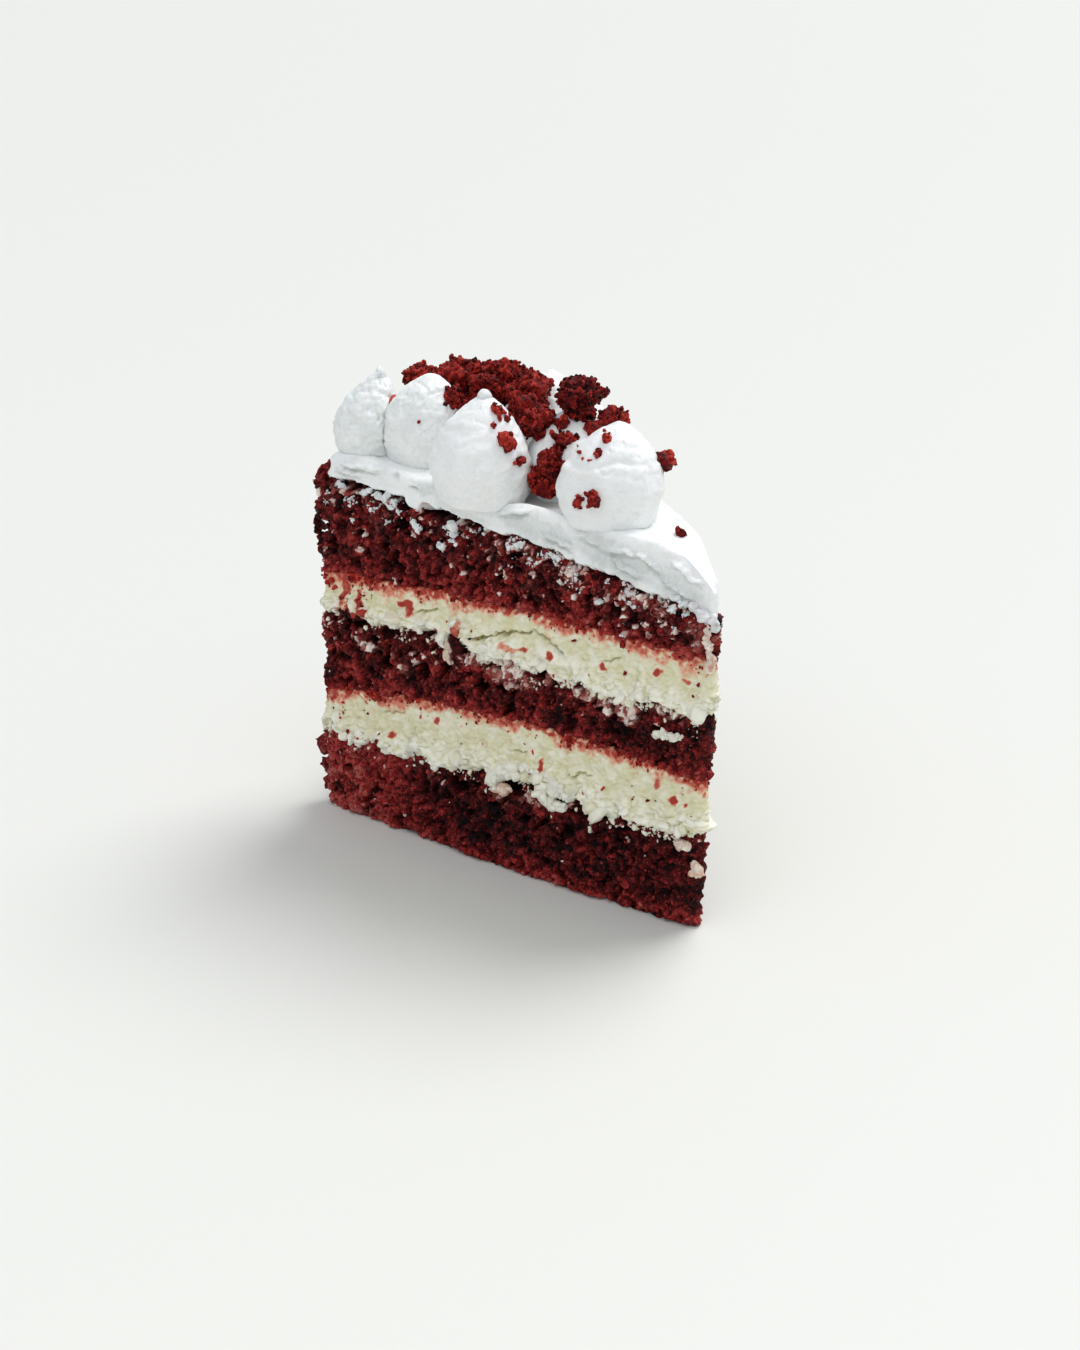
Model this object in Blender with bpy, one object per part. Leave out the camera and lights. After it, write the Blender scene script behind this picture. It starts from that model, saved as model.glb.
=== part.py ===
"""A slice of three-layer red velvet cake, in metres, +Z up.

The tip of the wedge points to -Y and the cake's outer rim to +Y. Three sponge layers and two
cream fillings run through the slice, a slab of white frosting lies on top and droops at the tip,
and piped dollops of the same cream stand on it with lumps of sponge crumb between them.
"""

import math

import bmesh
import bpy
import numpy as np
from mathutils import Vector, noise

MM = 0.001

# Driving dimensions of the wedge.
SLICE_RADIUS = 123 * MM
HALF_ANGLE = math.radians(20)
CORNER_ROUND = 2 * MM
TIP = np.array([-0.5 * MM, -SLICE_RADIUS / 2 - 0.7 * MM])
GAP = 0.3 * MM
LEAN = np.array([0.01, -0.035])
FACE_BOW = 2.2 * MM
WALL_SPACING = 4.2 * MM
INNER_SCALE = 0.74

# Height of each boundary between layers: at the tip, half way and at the rim.
BASE = (0 * MM, 0 * MM, 0 * MM)
LOWER_CREAM_FOOT = (24.5 * MM, 25 * MM, 24.5 * MM)
LOWER_CREAM_TOP = (38 * MM, 40.5 * MM, 34 * MM)
UPPER_CREAM_FOOT = (55.5 * MM, 55 * MM, 56.5 * MM)
UPPER_CREAM_TOP = (69 * MM, 70 * MM, 65.5 * MM)
FROSTING_FOOT = (79.5 * MM, 90 * MM, 94 * MM)
WAVE = 0.9 * MM

# The frosting's top steps up towards the rim and rolls down over the tip.
FROSTING_AT_TIP = 94.2 * MM
FROSTING_RISE = 5.8 * MM
RISE_FROM, RISE_TO = 0.5, 0.9
DROOP_DEPTH = 14 * MM
DROOP_REACH = 24 * MM
RIM_LEDGE = 3.5 * MM
KNIFE_MARK = 0.7 * MM

SPONGE_ROWS = 5
CREAM_ROWS = 3
SPONGE_CRAG = 1.3 * MM
CREAM_CRAG = 0.7 * MM
RING_SCALES = (0.985, 0.95, 0.9, 0.8, 0.55)

DOLLOP_STEPS = 15
DOLLOP_ROWS = (0, 0.08, 0.18, 0.3, 0.44, 0.58, 0.71, 0.82, 0.91, 0.97, 0.993)
FOOT_SHARE = 0.86
WIDEST_AT = 0.3
BLUNTNESS = 0.8
TILT_WAY = np.array([0.834, -0.552])
# Name, distance from the tip along the left cut face, depth behind it, widest radius, height,
# fullness (a cone near 1.4, a dome near 2.5) and how far the top leans over, all lengths in mm.
DOLLOPS = (
    ("dollop_rim_left", 115, 10, 9, 20, 1.5, 3.4),
    ("dollop_left", 99.9, 13.2, 9.8, 21.2, 2.6, 3),
    ("dollop_front", 74, 4.5, 12.5, 25.2, 1.7, 1.3),
    ("dollop_middle", 60.2, 24, 12.3, 21.2, 2.1, 0.4),
    ("dollop_tip", 39.7, 10, 12.6, 23.2, 2, 2),
    ("dollop_back", 81, 42, 11.3, 21.2, 2.1, 0.5),
    ("dollop_rim_middle", 106.5, 30, 9.8, 17, 2, 1),
    ("dollop_rim_back", 98.5, 48, 9.6, 16, 2, -1),
    ("dollop_corner", 87, 61.5, 8.2, 10, 2.4, 0),
)
# A knob of cream left on a peak by the piping tube: its width and height.
KNOBS = {"dollop_front": (4.4 * MM, 5.2 * MM), "dollop_rim_left": (3 * MM, 3.4 * MM)}

# Small crumbs fused to a dollop: bearing about its axis from the rim's side towards the depth,
# share of its height, width and height in mm.
CRUMBS_ON = {
    "dollop_rim_left": ((154, 0.64, 3.7, 4.4),),
    "dollop_front": ((-171, 0.86, 3, 3.4), (-177, 0.42, 3, 2.4), (-163, 0.62, 4.8, 4.4)),
    "dollop_middle": ((-95, 0.85, 3, 5.6), (-160, 0.8, 4.4, 4.4)),
    "dollop_tip": (
        (-99, 0.87, 2.2, 3.2), (-98, 0.75, 2, 2.4), (-88, 0.28, 2.3, 3.4), (-107, 0.33, 4.2, 3.9),
        (143, 0.58, 5.8, 4.8),
    ),
}
# One more lies on the frosting near the tip: distance along the face, depth, width and height.
CRUMB_ON_SLAB = (19, 9, 3.2, 3)

# Lumps of the larger crumb pieces: distance along the face, depth, height of the centre above the
# plate, and the three widths (along, across and up), in mm.
LARGE_LUMP = 12
CRUMB_PIECES = {
    "crumb_heap": (
        (90.5, 27, 106, 15, 15, 18), (100.5, 31, 116.2, 14, 12, 12), (90, 31, 116.5, 15, 13, 12),
        (79.5, 30, 114.8, 12, 12, 11), (92, 15.5, 114, 7.5, 7, 7.5), (77, 25.5, 112.5, 10, 10, 9),
        (67, 18, 111.5, 11, 10, 9),
    ),
    "crumb_valley": ((59.5, 10.5, 99.5, 8, 8, 9), (58.6, 13, 104, 9.5, 8, 9), (57.5, 16, 108.5, 7, 5.5, 6)),
    "crumb_ball": ((58.9, 23.5, 118, 12.4, 12.4, 11),),
    "crumb_right": ((43, 14.6, 117, 7.4, 6.2, 5),),
    "crumb_left": ((113.5, 27.5, 116, 8, 7, 6.5), (109.5, 27, 117, 5, 5, 4)),
}

# Colours: linear red, green and blue, then roughness.
SPONGE = ("red_sponge", (0.11, 0.008, 0.006), 0.75)
FILLING = ("cream_filling", (0.68, 0.64, 0.45), 0.5)
FROSTING = ("white_frosting", (0.83, 0.83, 0.8), 0.45)
CRUMB = ("sponge_crumb", (0.14, 0.01, 0.008), 0.8)


def clear_scene():
    """Removes what the new file holds."""
    for obj in list(bpy.data.objects):
        bpy.data.objects.remove(obj)


def material(name, colour, roughness):
    """A Principled material, made once for each name."""
    found = bpy.data.materials.get(name)
    if found:
        return found
    made = bpy.data.materials.new(name)
    made.use_nodes = True
    shader = made.node_tree.nodes["Principled BSDF"]
    shader.inputs["Base Color"].default_value = (*colour, 1)
    shader.inputs["Roughness"].default_value = roughness
    shader.inputs["Metallic"].default_value = 0
    return made


def add_object(name, bm, finish, collection):
    """Links a mesh object made from bm, shaded smooth up to 50 degrees."""
    mesh = bpy.data.meshes.new(name)
    bmesh.ops.recalc_face_normals(bm, faces=bm.faces)
    bm.to_mesh(mesh)
    bm.free()
    mesh.shade_smooth()
    mesh.set_sharp_from_angle(angle=math.radians(50))
    mesh.materials.append(material(*finish))
    obj = bpy.data.objects.new(name, mesh)
    collection.objects.link(obj)
    return obj


def rough(point, cell, seed=0.0):
    """Noise from -1 to 1 whose lumps are about one cell wide."""
    return noise.noise(Vector(point) / cell + Vector((seed, 7.3 * seed, -3.1 * seed)))


def wedge_outline(spacing):
    """The rounded sector as (points, outward normals), counter-clockwise from the tip."""
    r, a = CORNER_ROUND, HALF_ANGLE
    apex = TIP + np.array([0, r / math.sin(a)])
    reach = math.sqrt((SLICE_RADIUS - r) ** 2 - r**2) - r / math.tan(a)
    right = apex + reach * np.array([math.sin(a), math.cos(a)])
    left = TIP + (right - TIP) * (-1, 1)
    bearing = math.atan2(right[1] - TIP[1], right[0] - TIP[0])
    side = math.ceil(reach / spacing)
    rim = math.ceil(SLICE_RADIUS * 2 * a / spacing)
    centres, angles = [], []

    def turn(start, end, count, centre):
        for angle in np.linspace(start, end, count, endpoint=False):
            centres.append(centre)
            angles.append(angle)

    def walk(start, end, count, angle):
        for t in np.linspace(0, 1, count, endpoint=False):
            centres.append(start + t * (end - start))
            angles.append(angle)

    turn(-math.pi / 2, -a, 2, apex)
    walk(apex, right, side, -a)
    turn(-a, bearing, 2, right)
    for angle in np.linspace(bearing, math.pi - bearing, rim, endpoint=False):
        centres.append(TIP + (SLICE_RADIUS - r) * np.array([math.cos(angle), math.sin(angle)]))
        angles.append(angle)
    turn(math.pi - bearing, math.pi + a, 2, left)
    walk(left, apex, side, math.pi + a)
    turn(math.pi + a, 1.5 * math.pi, 2, apex)
    normals = np.column_stack([np.cos(angles), np.sin(angles)])
    return np.array(centres) + r * normals, normals


OUTLINE, NORMALS = wedge_outline(WALL_SPACING)
CENTRE = TIP + np.array([0.0, 0.66 * SLICE_RADIUS])


def from_tip(points):
    """Distance of each plan point from the wedge's tip."""
    return np.hypot(*(points[:, :2] - TIP).T)


def boundary(levels, points, seed, flat=False):
    """Height of a boundary: a curve through its three levels plus waves, or the plane inside."""
    t = np.clip(from_tip(points) / SLICE_RADIUS, 0, 1)
    tip, middle, rim = levels
    if flat:
        return tip + (rim - tip) * (points[:, 1] - TIP[1]) / SLICE_RADIUS
    curve = tip + (4 * middle - 3 * tip - rim) * t + 2 * (tip + rim - 2 * middle) * t**2
    if levels is BASE:
        return curve
    waves = [rough((x, y, 0), 11 * MM, seed) for x, y in points]
    return curve + WAVE * np.array(waves)


def frosting_top(points):
    """Top of the frosting: a soft step up to the rim, and a roll down over the tip."""
    distance = from_tip(points)
    t = np.clip((distance / SLICE_RADIUS - RISE_FROM) / (RISE_TO - RISE_FROM), 0, 1)
    slope = FROSTING_AT_TIP + FROSTING_RISE * t * t * (3 - 2 * t)
    fall = np.clip(1 - distance / DROOP_REACH, 0, 1)
    return slope - DROOP_DEPTH * fall**2


def pushed(points, amounts):
    """The outline's points moved along its outward normals."""
    return points + NORMALS * np.asarray(amounts)[:, None]


def bow(height):
    """The left cut face swells a little near the plate."""
    along = np.clip(from_tip(OUTLINE) / SLICE_RADIUS, 0, 1)
    left_face = NORMALS[:, 0] < -0.9
    return np.where(left_face, FACE_BOW * np.sin(math.pi * along), 0) * max(0, 1 - height / (60 * MM))


def rim_share():
    """1 on the rim's arc and 0 on the cut faces."""
    return np.clip(NORMALS[:, 1] * 1.6, 0, 1)


def with_height(points, heights):
    """Plan points and heights as rows of x, y, z."""
    return np.column_stack([points, np.broadcast_to(heights, len(points))])


def inner_ring(points, scale):
    """The outline drawn in towards the middle of the slice."""
    return CENTRE + scale * (points - CENTRE)


def leaned(ring):
    """The slice leans slightly towards its tip."""
    moved = ring.copy()
    moved[:, :2] += ring[:, 2:] * LEAN
    return moved


def loft(rings, from_inner, to_inner):
    """A closed solid through rings of equal length, with flat ends.

    The first from_inner bands and the last to_inner bands are the end faces. Their quads are cut
    along the same diagonal, so that two layers that share a boundary have the same facets there.
    """
    bm = bmesh.new()
    rows = [[bm.verts.new(p) for p in leaned(ring)] for ring in rings]
    bm.faces.new(reversed(rows[0]))
    bm.faces.new(rows[-1])
    count = len(rows[0])
    for k, (low, high) in enumerate(zip(rows, rows[1:])):
        for j in range(count):
            i = (j + 1) % count
            corners = [low[j], low[i], high[i], high[j]]
            if k < from_inner:
                corners = [high[j], low[j], low[i], high[i]]
            bm.faces.new(corners)
    bmesh.ops.triangulate(bm, faces=[f for f in bm.faces if len(f.verts) == 4], quad_method="FIXED")
    bmesh.ops.triangulate(bm, faces=bm.faces[:], ngon_method="BEAUTY")
    return bm


def shared_edge(levels):
    """How far the outline moves where two layers meet, the same for both of them."""
    heights = boundary(levels, OUTLINE, 1)
    lumps = [rough((x, y, z), 6 * MM, 2) for (x, y), z in zip(OUTLINE, heights)]
    edge = 0.5 * MM * np.array(lumps) + bow(float(np.mean(heights)))
    if levels is FROSTING_FOOT:
        edge = edge - RIM_LEDGE * rim_share()
    return edge


def layer(name, low, high, rows, crag, finish, collection, seed):
    """One layer of sponge or cream, from boundary low to boundary high."""
    foot, head = pushed(OUTLINE, shared_edge(low)), pushed(OUTLINE, shared_edge(high))
    z_foot = boundary(low, foot, 1) + (0 if low is BASE else GAP / 2)
    z_head = boundary(high, head, 1) - GAP / 2
    inner = inner_ring(OUTLINE, INNER_SCALE)
    low_inner = boundary(low, inner, 1, flat=True) + (0 if low is BASE else GAP / 2)
    high_inner = boundary(high, inner, 1, flat=True) - GAP / 2
    rings = [with_height(inner, low_inner), with_height(foot, z_foot)]
    for k in range(1, rows):
        t = k / rows
        heights = z_foot + (z_head - z_foot) * t
        lumps = [
            rough((x, y, z), 5.5 * MM, seed) + 0.6 * rough((x, y, z), 2.7 * MM, seed)
            for (x, y), z in zip(OUTLINE, heights)
        ]
        amounts = crag * np.array(lumps) + bow(float(np.mean(heights)))
        rings.append(with_height(pushed(OUTLINE, amounts), heights))
    rings += [with_height(head, z_head), with_height(inner, high_inner)]
    return add_object(name, loft(rings, 1, 1), finish, collection)


def frosting_slab(collection):
    """The frosting: its cut sides, a rounded upper edge, a top with knife marks and one crumb."""
    foot = pushed(OUTLINE, shared_edge(FROSTING_FOOT))
    z_foot = boundary(FROSTING_FOOT, foot, 1) + GAP / 2
    inner = inner_ring(OUTLINE, INNER_SCALE)
    inner_foot = boundary(FROSTING_FOOT, inner, 1, flat=True) + GAP / 2
    rings = [with_height(inner, inner_foot), with_height(foot, z_foot)]
    inset = -RIM_LEDGE * rim_share()
    edge = pushed(OUTLINE, inset)
    z_edge = frosting_top(edge)
    for t, swell in ((0.3, 0.5), (0.65, 0.4), (0.9, -0.4)):
        heights = z_foot + (z_edge - z_foot) * t
        lumps = [rough((x, y, z), 9 * MM, 5) for (x, y), z in zip(OUTLINE, heights)]
        rings.append(with_height(pushed(edge, (swell + 0.5 * np.array(lumps)) * MM), heights))
    for scale in RING_SCALES:
        ring = inner_ring(edge, scale)
        marks = [0.5 + 0.5 * rough((x * 0.3, y, 0), 5 * MM, 9) for x, y in ring]
        rings.append(with_height(ring, frosting_top(ring) - GAP - KNIFE_MARK * np.array(marks)))
    along, depth, width, height = CRUMB_ON_SLAB
    plan = on_face(along * MM, depth * MM)
    top = float(frosting_top(plan[None])[0])
    crumb = bmesh.new()
    crumb_lump(crumb, (*(plan + top * LEAN), top), (width * MM, width * MM, height * MM), 4, 1)
    joined([loft(rings, 1, len(RING_SCALES)), crumb], "frosting_slab", FROSTING, collection)


def on_face(along, depth):
    """Plan point at a distance from the tip along the left cut face, and a depth behind it."""
    outward = np.array([-math.sin(HALF_ANGLE), math.cos(HALF_ANGLE)])
    inward = np.array([math.cos(HALF_ANGLE), math.sin(HALF_ANGLE)])
    return TIP + along * outward + depth * inward


class Dollop:
    """A piped dollop: round at the foot, tapering to a soft top that leans a little."""

    def __init__(self, name, along, depth, radius, height, fullness, tilt):
        self.name = name
        upright = on_face(along * MM, depth * MM)
        self.foot = float(frosting_top(upright[None])[0])
        self.centre = upright + self.foot * LEAN
        self.radius = radius * MM
        self.height = height * MM
        self.fullness = fullness
        self.tilt = tilt * MM * TILT_WAY

    def share_at(self, level):
        """The radius at a share of the height, as a share of the widest radius."""
        if level < WIDEST_AT:
            return FOOT_SHARE + (1 - FOOT_SHARE) * math.sin(level / WIDEST_AT * math.pi / 2)
        return (1 - ((level - WIDEST_AT) / (1 - WIDEST_AT)) ** self.fullness) ** BLUNTNESS

    def solid(self, dollops, grow=0.0):
        """The turned shape, pressed flat against its neighbours, grown all round for a cutter."""
        radius, height = self.radius + grow, self.height + grow
        bm = bmesh.new()
        points = [Vector((0, 0, 0))]
        points += [Vector((radius * self.share_at(h), 0, height * h)) for h in DOLLOP_ROWS]
        points.append(Vector((0, 0, height)))
        verts = [bm.verts.new(p) for p in points]
        edges = [bm.edges.new(pair) for pair in zip(verts, verts[1:])]
        bmesh.ops.spin(
            bm, geom=verts + edges, cent=(0, 0, 0), axis=(0, 0, 1), angle=2 * math.pi, steps=DOLLOP_STEPS,
            use_merge=True,
        )
        bmesh.ops.remove_doubles(bm, verts=bm.verts, dist=0.01 * MM)
        for vert in bm.verts:
            self.shape(vert, height, [d for d in dollops if d is not self], grow)
        return bm

    def shape(self, vert, height, neighbours, grow):
        """Moves one vertex from the true turned shape to its place on the slice."""
        level = vert.co.z / height
        lump = 1 + 0.05 * rough((*(vert.co.xy + Vector(self.centre)), vert.co.z), 8 * MM, 3)
        plan = np.array(vert.co.xy) * lump + self.centre + self.tilt * level**2
        for other in neighbours:
            plan = self.held_back(plan, other, grow)
        under = float(frosting_top((plan - self.foot * LEAN)[None])[0]) - self.foot
        vert.co = (*plan, self.foot + vert.co.z + max(under, -1 * MM) * (1 - level) - grow * (1 - level))

    def held_back(self, plan, other, grow):
        """The plan point kept on this dollop's side of the plane between it and its neighbour."""
        across = other.centre - self.centre
        distance = float(np.hypot(*across))
        across = across / distance
        own = (distance**2 + self.radius**2 - other.radius**2) / (2 * distance)
        beyond = (plan - self.centre) @ across - (own - GAP / 2 + grow)
        return plan - max(0.0, beyond) * across

    def crumb(self, dollops, bearing, level, width, height, seed):
        """A small crumb whose inner half is sunk in the dollop's side."""
        turn = math.radians(bearing)
        way = on_face(math.cos(turn), math.sin(turn)) - TIP
        reach = self.radius * self.share_at(level) + 0.1 * width * MM
        plan = self.centre + self.tilt * level**2 + reach * way
        bm = bmesh.new()
        centre = (*plan, self.foot + self.height * level)
        crumb_lump(bm, centre, (width * MM, width * MM, height * MM), seed, 1)
        for vert in bm.verts:
            place = np.array(vert.co.xy)
            for other in dollops:
                if other is not self:
                    place = self.held_back(place, other, 0)
            vert.co.xy = place
        return bm

    def knob(self, width, height):
        """The knob on the peak, half sunk in it."""
        bm = bmesh.new()
        plan = self.centre + self.tilt
        for vert in bmesh.ops.create_icosphere(bm, subdivisions=2, radius=0.5)["verts"]:
            x, y, z = vert.co
            level = self.foot + self.height + (z - 0.15) * height
            vert.co = (plan[0] + x * width, plan[1] + y * width, level)
        return bm


def crumb_lump(bm, centre, size, seed, divisions):
    """Adds one craggy lump of sponge: a small sphere stretched and roughened."""
    for vert in bmesh.ops.create_icosphere(bm, subdivisions=divisions, radius=1)["verts"]:
        way = vert.co.copy()
        bump = 1 + 0.3 * rough(way, 0.55, seed) + 0.18 * rough(way, 0.27, seed)
        vert.co = Vector(centre) + Vector(c * s / 2 * bump for c, s in zip(way, size))


def crumb_piece(name, lumps, cutters, collection):
    """A larger crumb piece: joined lumps, cut clear of the dollops and of the frosting."""
    parts = []
    for seed, (along, depth, height, *size) in enumerate(lumps, start=len(name)):
        bm = bmesh.new()
        plan = on_face(along * MM, depth * MM) + height * MM * LEAN
        fineness = 3 if size[0] > LARGE_LUMP else 2
        crumb_lump(bm, (*plan, height * MM), [s * MM for s in size], seed * 1.7, fineness)
        for vert in bm.verts:
            level = float(frosting_top(np.array([vert.co.xy]) - vert.co.z * LEAN)[0])
            vert.co.z = max(vert.co.z, level + GAP / 2)
        parts.append(bm)
    joined(parts, name, CRUMB, collection, cutters)


def largest_piece(bm):
    """Removes every loose scrap but the largest piece."""
    left = set(bm.verts)
    pieces = []
    while left:
        stack, piece = [left.pop()], set()
        while stack:
            vert = stack.pop()
            piece.add(vert)
            for edge in vert.link_edges:
                other = edge.other_vert(vert)
                if other in left:
                    left.remove(other)
                    stack.append(other)
        pieces.append(piece)
    pieces.sort(key=len)
    for piece in pieces[:-1]:
        bmesh.ops.delete(bm, geom=list(piece), context="VERTS")


def boolean(target, name, operation, collection):
    """Applies one Boolean between the target and a collection."""
    step = target.modifiers.new(name, "BOOLEAN")
    step.operand_type = "COLLECTION"
    step.collection = collection
    step.operation = operation
    bpy.context.view_layer.update()
    graph = bpy.context.evaluated_depsgraph_get()
    mesh = bpy.data.meshes.new_from_object(target.evaluated_get(graph))
    target.modifiers.remove(step)
    target.data = mesh


def joined(parts, name, finish, collection, cutters=None):
    """One solid from overlapping meshes, by a Boolean union on a collection, then any cut."""
    helpers = bpy.data.collections.new(name + "_parts")
    bpy.context.scene.collection.children.link(helpers)
    first, *rest = [add_object(f"{name}_{i}", bm, finish, helpers) for i, bm in enumerate(parts)]
    helpers.objects.unlink(first)
    collection.objects.link(first)
    if rest:
        boolean(first, "join", "UNION", helpers)
    if cutters:
        boolean(first, "clear", "DIFFERENCE", cutters)
    bm = bmesh.new()
    bm.from_mesh(first.data)
    largest_piece(bm)
    for obj in [first, *rest]:
        bpy.data.objects.remove(obj)
    bpy.data.collections.remove(helpers)
    return add_object(name, bm, finish, collection)


def build_layers(collection):
    """The three sponges and the two fillings between them."""
    sponge = (SPONGE_CRAG, SPONGE, collection)
    cream = (CREAM_CRAG, FILLING, collection)
    layer("sponge_bottom", BASE, LOWER_CREAM_FOOT, SPONGE_ROWS, *sponge, 11)
    layer("cream_lower", LOWER_CREAM_FOOT, LOWER_CREAM_TOP, CREAM_ROWS, *cream, 12)
    layer("sponge_middle", LOWER_CREAM_TOP, UPPER_CREAM_FOOT, SPONGE_ROWS - 1, *sponge, 13)
    layer("cream_upper", UPPER_CREAM_FOOT, UPPER_CREAM_TOP, CREAM_ROWS, *cream, 14)
    layer("sponge_top", UPPER_CREAM_TOP, FROSTING_FOOT, SPONGE_ROWS, *sponge, 15)


def build_dollops(collection, cutters):
    """The piped dollops with the small crumbs on them, and grown copies that cut the crumbs."""
    dollops = [Dollop(*row) for row in DOLLOPS]
    for dollop in dollops:
        parts = [dollop.solid(dollops)]
        crumbs = CRUMBS_ON.get(dollop.name, ())
        parts += [dollop.crumb(dollops, *row, seed) for seed, row in enumerate(crumbs)]
        if dollop.name in KNOBS:
            parts.append(dollop.knob(*KNOBS[dollop.name]))
        joined(parts, dollop.name, FROSTING, collection)
        cutter = add_object(dollop.name + "_cutter", dollop.solid(dollops, GAP), FROSTING, cutters)
        cutter.hide_render = True
        cutter.display_type = "WIRE"


def main():
    clear_scene()
    cake = bpy.data.collections.new("red_velvet_slice")
    cutters = bpy.data.collections.new("cutters")
    bpy.context.scene.collection.children.link(cake)
    bpy.context.scene.collection.children.link(cutters)
    build_layers(cake)
    frosting_slab(cake)
    build_dollops(cake, cutters)
    for name, lumps in CRUMB_PIECES.items():
        crumb_piece(name, lumps, cutters, cake)


main()
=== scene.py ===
"""A slice of red velvet cake: crumbly sponge, smeared cream, piped dollops and loose crumbs.

Lengths are in metres and heights are above the plate. The wedge points to -Y. "Along" is the
distance from the wedge's tip along the left cut face, and "depth" the distance behind that face.
"""

from __future__ import annotations

import logging
import math
from dataclasses import dataclass, field, replace
from enum import Enum
from typing import TypeVar

import bpy
import numpy as np
from bpy.types import ID, Material, Node, NodeSocket, NodeTree, Object
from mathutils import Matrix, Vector, noise
from numpy.typing import NDArray


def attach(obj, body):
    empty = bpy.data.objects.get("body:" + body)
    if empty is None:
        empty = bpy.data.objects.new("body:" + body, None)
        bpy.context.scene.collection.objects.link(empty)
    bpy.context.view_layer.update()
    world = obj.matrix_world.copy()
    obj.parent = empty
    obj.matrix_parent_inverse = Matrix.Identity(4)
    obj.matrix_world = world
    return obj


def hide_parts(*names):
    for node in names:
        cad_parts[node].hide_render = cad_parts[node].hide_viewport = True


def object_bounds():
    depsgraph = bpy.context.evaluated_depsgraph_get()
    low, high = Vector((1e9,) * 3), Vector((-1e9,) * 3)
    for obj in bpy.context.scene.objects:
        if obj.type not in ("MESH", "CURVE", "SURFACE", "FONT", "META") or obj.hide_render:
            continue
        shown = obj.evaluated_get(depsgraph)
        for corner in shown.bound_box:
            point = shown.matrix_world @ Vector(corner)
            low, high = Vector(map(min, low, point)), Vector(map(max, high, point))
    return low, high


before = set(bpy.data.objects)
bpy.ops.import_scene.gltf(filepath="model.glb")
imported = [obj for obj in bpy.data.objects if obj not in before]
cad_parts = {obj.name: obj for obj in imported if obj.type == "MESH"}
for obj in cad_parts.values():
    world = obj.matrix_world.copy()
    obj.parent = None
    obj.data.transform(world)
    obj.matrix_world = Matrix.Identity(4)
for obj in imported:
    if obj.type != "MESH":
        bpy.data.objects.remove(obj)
CAD_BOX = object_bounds()

LOG = logging.getLogger("red_velvet_slice")
MM = 0.001
Floats = NDArray[np.float64]
Integers = NDArray[np.int64]
Random = np.random.Generator
Colour = tuple[float, float, float, float]
Rows = tuple[tuple[float, ...], ...]
Record = TypeVar("Record")


class Slot(Enum):
    """The material slots."""

    SPONGE = "red_sponge"
    FILLING = "cream_filling"
    FROSTING = "white_frosting"
    CRUMB = "sponge_crumb"


class Boundary(Enum):
    """Height in mm of each boundary between layers: at the tip, half way and at the rim."""

    BASE = (0.0, 0.0, 0.0)
    LOWER_CREAM_FOOT = (24.5, 25.0, 24.5)
    LOWER_CREAM_TOP = (38.0, 40.5, 34.0)
    UPPER_CREAM_FOOT = (55.3, 56.8, 58.2)
    UPPER_CREAM_TOP = (68.7, 69.4, 67.3)
    FROSTING_FOOT = (77.8, 88.7, 94.0)


# --- Noise, worked out on whole arrays of points.


def cell_hash(cells: Integers, seed: int) -> Integers:
    """A repeatable whole number for each cell: its indices times primes, mixed by shifts.

    Args:
        cells: Whole-number cell indices, with the last axis x, y and z.
        seed: A number that makes one pattern differ from another.

    Returns:
        A number from 0 to 2**31 - 1 for each cell.
    """
    mixed = cells @ np.array([73856093, 19349663, 83492791]) + seed * 374761393
    mixed = (mixed ^ (mixed >> 13)) * 1274126177 & 0x7FFFFFFF
    return (mixed ^ (mixed >> 16)) * 668265263 & 0x7FFFFFFF


def three_shares(picked: Integers) -> Floats:
    """Three numbers from 0 to 1 out of each hashed number, ten bits for each."""
    return np.stack([picked & 1023, picked >> 10 & 1023, picked >> 20 & 1023], axis=-1) / 1023


def swell(points: Floats, cell: float, seed: int = 0) -> Floats:
    """Gradient noise from about -1 to 1 whose lumps are one cell wide.

    Each corner of a cell has a random slope; the eight slopes times the way to each corner are
    blended by 6t^5 - 15t^4 + 10t^3 along each axis.

    Args:
        points: Places, with the last axis x, y and z.
        cell: Width of a lump.
        seed: A number that makes one pattern differ from another.

    Returns:
        One value for each point.
    """
    scaled = points / cell
    base = np.floor(scaled).astype(np.int64)
    inside = scaled - base
    blend = inside**3 * (inside * (inside * 6 - 15) + 10)
    total = np.zeros(points.shape[:-1])
    for corner in np.ndindex(2, 2, 2):
        way = np.array(corner)
        slope = 2 * three_shares(cell_hash(base + way, seed)) - 1
        weight = np.prod(np.where(way == 1, blend, 1 - blend), axis=-1)
        total += weight * np.sum(slope * (inside - way), axis=-1)
    return 1.6 * total


def layered(points: Floats, cell: float, octaves: int, seed: int = 0) -> Floats:
    """Sum of swells, each half as wide and half as strong as the one before."""
    return sum(0.5**k * swell(points, cell * 0.5**k, seed + 17 * k) for k in range(octaves))


def nearest_seed(points: Floats, cell: float, seed: int = 0) -> tuple[Floats, Floats]:
    """Distance to the nearest of one random seed point per cell, and a share picked for it.

    Args:
        points: Places, with the last axis x, y and z.
        cell: Width of a cell.
        seed: A number that makes one pattern differ from another.

    Returns:
        The distance as a share of the cell, and a number from 0 to 1 that is the same all over
        the region round one seed point.
    """
    scaled = points / cell
    base = np.floor(scaled).astype(np.int64)
    nearest = np.full(points.shape[:-1], 9.0)
    chosen = np.zeros(points.shape[:-1])
    for step in np.ndindex(3, 3, 3):
        here = base + np.array(step) - 1
        shares = three_shares(cell_hash(here, seed))
        away = np.sum((scaled - here - shares) ** 2, axis=-1)
        chosen = np.where(away < nearest, shares[..., 0], chosen)
        nearest = np.minimum(nearest, away)
    return np.sqrt(nearest), chosen


def rounded(distance: Floats) -> Floats:
    """A round bump about each seed point: the root of 1 - (distance / 0.85)^2."""
    return np.sqrt(np.clip(1 - (distance / 0.85) ** 2, 0, 1))


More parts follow.
